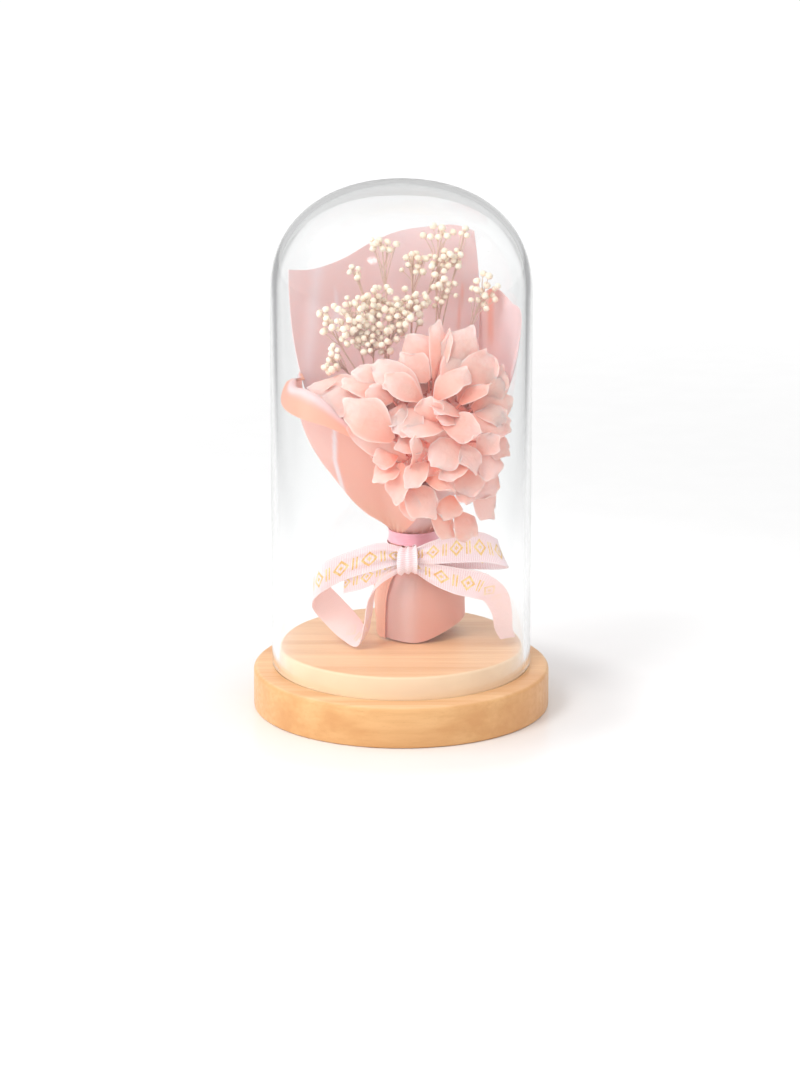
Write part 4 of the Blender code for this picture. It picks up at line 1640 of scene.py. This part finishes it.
@dataclass
class BabysBreath:
    """Dried baby's breath: fine branching stems that end in round cream buds."""

    foot: Vector = field(default_factory=lambda: Vector((6.0, 12.0, 62.0)))
    seed: int = 11
    bud_radius: float = 1.4
    tries: int = 60
    finish: BudFinish = field(default_factory=BudFinish)
    stem_finish: StalkFinish = field(
        default_factory=lambda: StalkFinish((0.86, 0.62, 0.50), "pale_twig")
    )
    # Each stem's top, then its sprays: across, up, depth, spread three ways, and the buds.
    branches: list[tuple[tuple[float, float, float], list[tuple[float, ...]]]] = field(
        default_factory=lambda: [
            (
                (-12, 10, 128),
                [
                    (-20, 50, 2, 9, 8, 6, 38),
                    (-12, 43, 4, 11, 8, 6, 44),
                    (-31, 50, 6, 3, 7, 3, 9),
                    (-27, 33, 0, 4, 6, 3, 14),
                    (-2, 48, 6, 7, 7, 5, 22),
                ],
            ),
            (
                (-5, 15, 138),
                [
                    (-10, 56, 10, 10, 7, 7, 32),
                    (-19, 69, 16, 3, 3, 3, 5),
                    (-8, 80, 24, 6, 3, 3, 12),
                ],
            ),
            (
                (4, 18, 145),
                [
                    (4, 55, 12, 9, 7, 6, 24),
                    (5, 73, 24, 6, 5, 4, 18),
                    (17, 74, 24, 8, 5, 4, 22),
                ],
            ),
            (
                (14, 20, 140),
                [(17, 61, 18, 6, 8, 4, 16), (15, 85, 28, 7, 3, 2, 8), (26, 85, 26, 2, 2, 2, 3)],
            ),
            ((19, 15, 130), [(33, 60, 14, 7, 10, 4, 17)]),
        ]
    )

    def bud_shape(self) -> bpy.types.Object:
        """One bud, modelled once: a ball with a few soft lobes and a pinched foot.

        Returns:
            The pattern that the buds are copied from.
        """
        bpy.ops.object.select_all(action="DESELECT")
        bpy.ops.mesh.primitive_ico_sphere_add(subdivisions=2, radius=1.0)
        obj = bpy.context.object
        obj.name = "bud_pattern"
        for vert in obj.data.vertices:
            way = vert.co.normalized()
            spin = math.atan2(way.y, way.x)
            lobes = 1 + 0.10 * math.cos(5 * spin) * (1 - way.z**2)
            lobes *= 1 - 0.12 * max(0.0, way.z - 0.6) + 0.05 * math.sin(7 * way.z)
            vert.co = way * lobes
        return obj

    def middle(self, spray: tuple[float, ...]) -> Vector:
        """The middle of a spray, from its place across, up and back."""
        across, up, back = spray[:3]
        rise = (up - back * math.sin(SIGHT_TILT)) / math.cos(SIGHT_TILT)
        return Vector((across, back, SIGHT_HEIGHT + rise))

    def grow(
        self, rng: random.Random, walls: BVHTree, glass: GlassDome
    ) -> tuple[list[tuple[Vector, Vector, float]], list[list[Vector]], list[float]]:
        """Finds the buds' places and the lines of every stem and twig.

        Args:
            rng: The source of their variation.
            walls: The pieces that buds and twigs keep clear of.
            glass: The dome that they stay inside.

        Returns:
            The buds, as a place, a direction and a size, then the lines and their radii.
        """
        buds: list[tuple[Vector, Vector, float]] = []
        lines: list[list[Vector]] = []
        radii: list[float] = []
        for hub_place, sprays in self.branches:
            hub = Vector(hub_place)
            knee = self.foot.lerp(hub, 0.45) + Vector((0.0, 3.5, 0.0))
            lines.append([Vector((7.5, 14.0, FLOOR + 0.3)), self.foot, knee, hub])
            radii.append(0.6)
            for spray in sprays:
                self.grow_spray(rng, walls, glass, hub, spray, (buds, lines, radii))
        return buds, lines, radii

    def grow_spray(
        self, rng: random.Random, walls: BVHTree, glass: GlassDome, hub: Vector,
        spray: tuple[float, ...], found: tuple[list, list, list],
    ) -> None:
        """Adds one spray's buds and twigs to what has been found so far.

        Args:
            rng: The source of their variation.
            walls: The pieces that buds and twigs keep clear of.
            glass: The dome that they stay inside.
            hub: Where the spray leaves its stem.
            spray: Its place, its spread three ways and its number of buds.
            found: The buds, lines and radii so far, which it adds to.
        """
        buds, lines, radii = found
        middle = self.middle(spray)
        wide, tall, deep, count = spray[3:]
        stalk_top = middle + (middle - hub).normalized() * tall * 0.5
        bend = hub.lerp(stalk_top, 0.5) + Vector((rng.uniform(-1, 1), 1.0, 0.5))
        stalk = [hub, bend, stalk_top]
        lines.append(stalk)
        radii.append(0.34)
        made = 0
        for _ in range(int(count) * self.tries):
            if made == count:
                break
            offset = Vector([rng.gauss(0.0, 0.5) for _ in range(3)])
            if offset.length > 1.15:
                continue
            bud = middle + Vector((offset.x * wide, offset.y * deep, offset.z * tall))
            size = self.bud_radius * rng.uniform(0.78, 1.18)
            share = 0.45 + 0.5 * rng.random()
            start = smooth(stalk, share)
            if not glass.holds(bud, size + 1.0):
                continue
            if walls.find_nearest(bud)[3] < size + 0.2 or self.blocked(walls, start, bud):
                continue
            if any((bud - other).length < (size + theirs) * 0.96 for other, _, theirs in buds):
                continue
            way = bud - start
            kink = start.lerp(bud, 0.55) + Vector([rng.uniform(-0.6, 0.6) for _ in range(3)])
            lines.append([start, kink, bud])
            radii.append(0.2)
            buds.append((bud, way.normalized(), size))
            made += 1

    def blocked(self, walls: BVHTree, start: Vector, end: Vector) -> bool:
        """True where something stands on the straight way between two points.

        Args:
            walls: What may stand there.
            start: One point.
            end: The other.

        Returns:
            Whether the way is blocked.
        """
        way = end - start
        if way.length < 0.01:
            return False
        return walls.ray_cast(start, way.normalized(), way.length)[0] is not None

    def build(self, walls: BVHTree, glass: GlassDome) -> bpy.types.Object:
        """Copies the bud to each of its places and draws the stems.

        Args:
            walls: The pieces that buds and twigs keep clear of.
            glass: The dome that they stay inside.

        Returns:
            The buds.
        """
        rng = random.Random(self.seed)
        buds, lines, radii = self.grow(rng, walls, glass)
        pattern = self.bud_shape()
        made = []
        for i, (place, way, size) in enumerate(buds):
            copy = pattern.copy()
            copy.data = pattern.data.copy()
            copy.name = f"bud_{i}"
            bpy.context.scene.collection.objects.link(copy)
            turn = way.to_track_quat("Z", "Y").to_matrix().to_4x4()
            spin = Matrix.Rotation(rng.uniform(0, math.tau), 4, "Z")
            flat = Matrix.Diagonal((size, size, size * rng.uniform(0.85, 1.0), 1.0))
            there = Matrix.Translation(place * MM)
            copy.data.transform(there @ turn @ spin @ flat @ Matrix.Scale(MM, 4))
            tone(copy, "tan", rng.uniform(0.0, 0.45) ** 1.5)
            made.append(copy)
        bpy.data.objects.remove(pattern)
        heads = join("breath_buds", made)
        finish(heads, self.finish.build(), ["babys_breath"], "buds", 80.0)
        twigs = stems("breath_twigs", lines, radii)
        finish(twigs, self.stem_finish.build(), ["babys_breath"], "buds", 60.0)
        LOG.info("baby's breath: %d buds", len(buds))
        return heads


# The ribbon


@dataclass
class Strand:
    """A length of ribbon: the line it follows, the way across it, and its width along it."""

    name: str
    path: list[Spot]
    across: list[Spot]
    widths: list[float]
    pleats: tuple[float, float] = (1.0, 0.0)
    gather: float = 0.0
    lining: list[float] = field(default_factory=lambda: [0.0, 0.0])
    printed: float = 1.0
    start: float = 0.0
    rows: int = 70
    columns: int = 12

    def place(self, u: float, v: float) -> Vector:
        """A point of the strand: u across it and v along it.

        Args:
            u: The place across.
            v: The place along.

        Returns:
            The point.
        """
        points = [Vector(point) for point in self.path]
        across = smooth([Vector(way) for way in self.across], v).normalized()
        here = smooth(points, v)
        ahead = (smooth(points, min(v + 0.01, 1)) - smooth(points, max(v - 0.01, 0))).normalized()
        normal = ahead.cross(across).normalized()
        width = smooth(self.widths, v)
        near = self.pleats[0] * max(0.0, 1 - v / 0.22) + self.gather
        near += self.pleats[1] * max(0.0, 1 - (1 - v) / 0.22)
        fold = near * 0.9 * math.sin(math.tau * 2.6 * (u - 0.5) + 3.0 * self.gather * v)
        cup = 0.35 * (2 * u - 1) ** 2
        return here + across * width * (u - 0.5) + normal * (fold + cup)

    def length(self) -> float:
        """The strand's length in millimetres."""
        points = [Vector(point) for point in self.path]
        spots = [smooth(points, i / 80) for i in range(81)]
        return sum((after - before).length for before, after in zip(spots, spots[1:]))

    def build(self) -> bpy.types.Object:
        """Shapes the strand; its UV map holds the length along the ribbon in centimetres.

        Returns:
            The strand.
        """
        obj = shaped_grid(self.name, self.columns, self.rows, self.place)
        shares = [loop.uv.y for loop in obj.data.uv_layers[0].data]
        for loop, share in zip(obj.data.uv_layers[0].data, shares):
            loop.uv.y = (self.start + share * self.length()) / 10
        lining = obj.data.attributes.new("lining", "FLOAT", "POINT")
        printed = obj.data.attributes.new("printed", "FLOAT", "POINT")
        per_row = self.columns + 1
        for i in range(len(obj.data.vertices)):
            v = (i // per_row) / self.rows
            lining.data[i].value = min(max(smooth(self.lining, v), 0.0), 1.0)
            printed.data[i].value = self.printed * (1 - lining.data[i].value)
        return obj


@dataclass
class RibbonBow:
    """The ribbon: a band round the tie, a gathered knot, two loops and the tails."""

    width: float = 11.8
    finish: RibbonFinish = field(default_factory=RibbonFinish)

    def band(self) -> Strand:
        """The turn round the waist.

        Returns:
            The strand.
        """
        path = []
        ways = []
        for i in range(17):
            angle = math.radians(-92 + 360 * i / 16)
            out = Vector((math.cos(angle), math.sin(angle), 0.0))
            point = WAIST + out * 10.4 + Vector((0.0, 0.0, -1.8))
            path.append(tuple(point))
            ways.append((0.0, 0.0, 1.0))
        return Strand("band", path, ways, [8.5, 9.0, 9.0, 8.5], rows=96)

    def satin_tie(self) -> bpy.types.Object:
        """The narrow satin turn that shows just over the bow.

        Returns:
            The finished piece.
        """
        path = []
        for i in range(17):
            angle = math.radians(88 + 360 * i / 16)
            out = Vector((math.cos(angle), math.sin(angle), 0.0))
            path.append(tuple(WAIST + out * 10.0 + Vector((0.0, 0.0, 5.9))))
        strand = Strand("satin_tie", path, [(0.0, 0.0, 1.0)] * 2, [5.0, 5.0], (0.0, 0.0), rows=96)
        tie = strand.build()
        thicken(tie, 0.25)
        finish(tie, SatinFinish().build(), ["ribbon_bow"], "ribbon", 80.0)
        return tie

    def left_loop(self) -> Strand:
        """The loop on the left, which comes down to the plateau and back up to the knot.

        Returns:
            The strand.
        """
        path = [
            (1.5, -6.5, 64.5),
            (-8, -8.5, 65.0),
            (-20, -10.0, 62.0),
            (-31, -10.5, 57.0),
            (-35.5, -7.0, 52),
            (-32.5, -3.0, 46),
            (-26.5, -2.0, 39),
            (-20.5, -3.6, 32.8),
            (-15.5, -7.0, 29.4),
            (-13.2, -9.0, 38),
            (-11.5, -8.5, 49),
            (-7.5, -7.2, 57),
            (1, -5.8, 61),
        ]
        ways = [
            (0.1, -0.1, 0.9),
            (0.0, -0.1, 1.0),
            (0.1, -0.1, 1.0),
            (0.0, -0.1, 1.0),
            (0.05, 0.1, 1.0),
            (0.45, 0.1, 0.85),
            (0.7, 0.1, 0.65),
            (0.55, 0.5, 0.5),
            (0.35, 0.9, 0.25),
            (0.25, 0.95, 0.1),
            (0.25, 0.9, 0.15),
            (0.15, 0.6, 0.6),
            (0.1, 0.1, 0.9),
        ]
        widths = [5.5, 11.0, 12.0, 12.4, 12.4, 12.2, 12.0, 11.8, 11.8, 11.8, 11.5, 9.0, 5.0]
        lining = [0, 0, 0, 0, 0.3, 1.0, 1.0, 0.9, 0.35, 0.5, 0.8, 0.8, 0.6]
        return Strand("left_loop", path, ways, widths, (1.0, 0.8), lining=lining, rows=110)

    def right_loop(self) -> Strand:
        """The loop on the right, folded flat with its return behind it.

        Returns:
            The strand.
        """
        path = [
            (3.5, -6.5, 64.5),
            (13, -9.0, 67.0),
            (23, -10, 69.0),
            (33, -10, 69.2),
            (40.0, -8.5, 66.5),
            (38.5, -5.5, 64.5),
            (28, -4.8, 64.5),
            (16, -5.2, 64.0),
            (4, -5.4, 62.5),
        ]
        ways = [
            (0.1, -0.1, 0.9),
            (0.05, 0.0, 1.0),
            (0.0, 0.0, 1.0),
            (-0.15, 0.0, 1.0),
            (-0.38, 0.0, 0.95),
            (-0.25, 0.0, 0.95),
            (0.0, 0.0, 1.0),
            (0.0, 0.0, 1.0),
            (0.1, -0.1, 0.9),
        ]
        widths = [5.5, 10.0, 12.4, 12.8, 12.8, 12.4, 12.0, 10.0, 5.0]
        return Strand("right_loop", path, ways, widths, (1.0, 0.8), start=4.0, rows=90)

    def tail(self) -> Strand:
        """The tail that runs right, folds over and hangs to the plateau.

        Returns:
            The strand.
        """
        path = [
            (3.5, -5.8, 61.5),
            (12, -7.0, 57.5),
            (22, -7.4, 54.5),
            (31, -7.4, 52.5),
            (37.5, -7.0, 48.5),
            (40.5, -6.4, 41),
            (41.2, -6.0, 34.0),
            (43.0, -5.6, 29.6),
        ]
        ways = [
            (0.1, -0.1, 0.9),
            (0.0, -0.1, 1.0),
            (0.1, -0.1, 1.0),
            (0.35, -0.1, 0.95),
            (0.85, -0.1, 0.5),
            (0.95, 0.1, 0.1),
            (0.9, 0.3, 0.0),
            (0.85, 0.5, 0.0),
        ]
        widths = [5.0, 9.0, 11.5, 11.8, 10.5, 8.2, 7.6, 7.2]
        lining = [0, 0, 0, 0.0, 0.75, 1.0, 1.0, 1.0]
        return Strand("tail", path, ways, widths, (1.0, 0.0), lining=lining, start=2.0, rows=80)

    def under_tail(self) -> Strand:
        """The second tail's start, seen just under the left loop."""
        path = [(2.0, -5.2, 61.5), (-6, -6.8, 59.5), (-15, -8.0, 56.0), (-23, -7.6, 53.5)]
        ways = [(0.1, -0.1, 0.9), (0.1, -0.1, 1.0), (0.1, 0.0, 1.0), (0.1, 0.0, 1.0)]
        return Strand("under_tail", path, ways, [5.0, 9.0, 10.0, 9.0], start=6.0, rows=40)

    def knot(self) -> Strand:
        """The gathered wrap over the crossing of the loops.

        Returns:
            The strand.
        """
        path = []
        ways = []
        for i in range(13):
            angle = math.radians(100 + 350 * i / 12)
            point = Vector((2.4, -6.4 + 3.4 * math.cos(angle), 62.8 + 5.4 * math.sin(angle)))
            path.append(tuple(point))
            ways.append((1.0, 0.0, 0.12))
        widths = [7.4, 8.4, 7.2, 8.6, 7.6]
        return Strand("knot", path, ways, widths, (0.0, 0.0), 0.5, rows=60, printed=0.0)

    def build(self) -> bpy.types.Object:
        """Joins the strands into the bow.

        Returns:
            The bow.
        """
        strands = [
            self.band(), self.left_loop(), self.right_loop(), self.tail(), self.under_tail(),
            self.knot(),
        ]
        bow = join("ribbon", [strand.build() for strand in strands])
        thicken(bow, 0.3)
        finish(bow, self.finish.build(), ["ribbon_bow"], "ribbon", 80.0)
        length = sum(strand.length() for strand in strands)
        self.satin_tie()
        LOG.info("ribbon: %.0f mm long", length)
        return bow


# The studio


@dataclass
class Studio:
    """A pale floor, soft lights, and the camera of the photo."""

    camera_place: Spot = (-0.5, -1933.4, 621.9)
    camera_aim: Spot = (-0.5, 0.0, 66.8)
    lens: float = 164.1
    floor_side: float = 6000.0
    sky_low: float = 0.68
    sky_high: float = 0.98
    finish: FloorFinish = field(default_factory=FloorFinish)

    def floor(self) -> bpy.types.Object:
        """A flat sheet under the object, well past the edges of the picture.

        Returns:
            The floor.
        """

        def place(u: float, v: float) -> Vector:
            """A point of the floor in millimetres."""
            return Vector(((u - 0.5) * self.floor_side, (v - 0.5) * self.floor_side, 0.0))

        obj = shaped_grid("studio_floor", 12, 12, place)
        select_only(obj)
        bpy.ops.object.shade_smooth()
        obj.data.materials.append(self.finish.build())
        return obj

    def lamp(
        self, name: str, place: Spot, aim: Spot, size: tuple[float, float], power: float
    ) -> bpy.types.Object:
        """A rectangular soft light.

        Args:
            name: Its name.
            place: Where it stands, in millimetres.
            aim: The point that it faces.
            size: Its width and height, in millimetres.
            power: Its power in watts.

        Returns:
            The lamp.
        """
        bpy.ops.object.light_add(type="AREA", location=Vector(place) * MM)
        lamp = bpy.context.object
        lamp.name = name
        lamp.data.shape = "RECTANGLE"
        lamp.data.size = size[0] * MM
        lamp.data.size_y = size[1] * MM
        lamp.data.energy = power
        way = Vector(aim) - Vector(place)
        lamp.rotation_euler = way.to_track_quat("-Z", "Y").to_euler()
        return lamp

    def camera(self) -> None:
        """The camera, far off with a long lens as for a product photo."""
        bpy.ops.object.camera_add(location=Vector(self.camera_place) * MM)
        camera = bpy.context.object
        way = Vector(self.camera_aim) - Vector(self.camera_place)
        camera.rotation_euler = way.to_track_quat("-Z", "Y").to_euler()
        camera.data.lens = self.lens
        camera.data.sensor_width = 36.0
        camera.data.clip_end = 20.0
        bpy.context.scene.camera = camera

    def sky(self) -> None:
        """A soft surround, brightest above the camera and dim behind the object."""
        world = bpy.data.worlds.new("surround")
        bpy.context.scene.world = world
        world.use_nodes = True
        tree = world.node_tree
        shade = tree.nodes["Background"]
        coord = tree.nodes.new("ShaderNodeTexCoord")
        slope = tree.nodes.new("ShaderNodeVectorMath")
        slope.operation = "DOT_PRODUCT"
        slope.inputs[1].default_value = (0.0, -0.7, 0.6)
        tree.links.new(coord.outputs["Generated"], slope.inputs[0])
        span = tree.nodes.new("ShaderNodeMapRange")
        span.interpolation_type = "SMOOTHSTEP"
        span.inputs["From Min"].default_value = -0.05
        span.inputs["From Max"].default_value = 0.8
        span.inputs["To Min"].default_value = self.sky_low
        span.inputs["To Max"].default_value = self.sky_high
        tree.links.new(slope.outputs["Value"], span.inputs["Value"])
        shade.inputs["Color"].default_value = (1.0, 1.0, 1.0, 1.0)
        tree.links.new(span.outputs["Result"], shade.inputs["Strength"])

    def build(self) -> None:
        """Sets up the floor, the lights and the camera."""
        self.floor()
        self.sky()
        key = self.lamp("key", (-900, -900, 1600), (0, 0, 100), (650, 650), 13.0)
        low = self.lamp("low_left", (-1300, -300, 450), (0, 0, 60), (1200, 500), 6.5)
        for lamp in (key, low):
            lamp.visible_glossy = False
            lamp.visible_transmission = False
        self.lamp("left_window", (-1500, 500, 1250), (0, 0, 180), (420, 300), 2.0)
        self.lamp("right_window", (1500, 500, 1250), (0, 0, 180), (300, 300), 1.0)
        round_lamp = self.lamp("round_lamp", (-750, -1050, 1600), (0, 0, 180), (260, 260), 1.0)
        round_lamp.data.shape = "DISK"
        self.camera()
        settings = bpy.context.scene.view_settings
        settings.view_transform = "Standard"
        settings.look = "None"


def films() -> list[FilmSheet]:
    """The three sheets of the wrap.

    Returns:
        The back, right and front sheets.
    """
    back = FilmSheet(
        side=Side.BACK,
        hem=[(18.5, 17, 28), (14, 24, 27.5), (5, 25.5, 27.5), (-2.5, 21, 27.5), (-5, 12, 28)],
        arc=(15, 200),
        radius=6.9,
        top=[
            (29.8, 31, 191),
            (22, 36, 192.5),
            (13, 38.5, 191.5),
            (0, 39, 189.5),
            (-12, 37, 185),
            (-24, 31, 179),
            (-36, 22.5, 176.5),
            (-46, 12.5, 178.5),
        ],
        bulge=[5.0, 3.0, 1.0, 0.0, 0.0, 0.0, 0.5, 0.5],
        fullness=[1.9, 2.0, 2.0, 2.0, 2.0, 2.0, 2.1, 2.35],
        finish=FilmFinish(
            "film_dusty", (0.90, 0.62, 0.63), (0.92, 0.45, 0.40), (0.94, 0.78, 0.83)
        ),
        slot="film_dusty",
        flat=(0.075, 0.150),
    )
    right = FilmSheet(
        side=Side.RIGHT,
        hem=[
            (12, 30, 28.5),
            (21, 26, 30.5),
            (26, 16, 34),
            (23.5, 6, 33),
            (16, -1, 30),
            (8, -3.6, FLOOR + 0.4),
            (1, -3.2, FLOOR + 0.4),
            (-7.8, 4.0, FLOOR + 0.6),
        ],
        arc=(80, -135),
        radius=8.2,
        top=[
            (29, 37, 158),
            (37.5, 21, 169),
            (45, 9, 165.5),
            (48.0, -1.5, 162.5),
            (44.8, -1.5, 139),
            (35, -1.5, 116.5),
            (24, -7, 100),
            (12, -15, 93.5),
            (4, -11, 86.5),
            (-0.8, -0.8, 78),
        ],
        bulge=[5.0, 4.0, 1.5, 0.0, 0.0, 0.0, 0.0, 0.0, 0.0, 0.0],
        fullness=[2.0, 2.0, 1.8, 1.5, 1.2, 1.0, 1.0, 1.1, 1.2, 1.3],
        finish=FilmFinish(
            "film_salmon_right", (1.0, 0.55, 0.54), (1.0, 0.37, 0.29), (1.0, 0.74, 0.77)
        ),
        slot="film_salmon",
        flat=(0.060, 0.115),
    )
    front = FilmSheet(
        side=Side.FRONT,
        hem=[(-11.2, 20, 40), (-10.2, 14, 31), (-9.6, 7.5, FLOOR + 0.6), (-6.6, 1.4, FLOOR + 0.6)],
        arc=(125, 238),
        radius=9.1,
        top=[
            (-41.0, 19, 136.0),
            (-42.4, 7, 134.0),
            (-41.0, -4.5, 132.4),
            (-35.0, -11.0, 132.0),
            (-27.5, -14.0, 127.0),
            (-18, -16.5, 118.5),
            (-8, -18, 111.5),
            (1, -19, 101),
            (9.5, -20, 90.5),
        ],
        bulge=[1.0, 1.0, 0.5, 0.0, 0.0, 0.0, 0.0, 0.0],
        fullness=[2.0, 2.0, 2.0, 1.9, 1.7, 1.4, 1.3, 1.3],
        lip=[0.1, 1.2, 2.3, 2.8, 2.6, 2.2, 1.6, 1.0, 0.6],
        roll=[20, 110, 155, 163, 160, 150, 130, 110, 90],
        cuff=[0.0, 2.0, 6.0, 8.5, 6.0, 2.0, 0.5, 0.0, 0.0],
        quick=[0.07, 0.07, 0.07, 0.05, 0.03, 0.0, 0.0, 0.0, 0.0],
        finish=FilmFinish(
            "film_salmon_front", (1.0, 0.38, 0.30), (1.0, 0.40, 0.29), (0.99, 0.74, 0.78)
        ),
        slot="film_salmon",
        flat=(0.055, 0.085),
    )
    return [back, right, front]


def main() -> None:
    """Builds the object from the base up, then the studio."""
    logging.basicConfig(level=logging.INFO, format="%(name)s: %(message)s")
    WoodBase().build()
    dome = GlassDome()
    sheets = [sheet.build() for sheet in films()]
    walls = tree_of(*sheets)
    head = HydrangeaHead().build(walls)
    BabysBreath().build(tree_of(head, *sheets), dome)
    RibbonBow().build()
    dome.build()
    Studio().build()


if __name__ == "__main__":
    main()
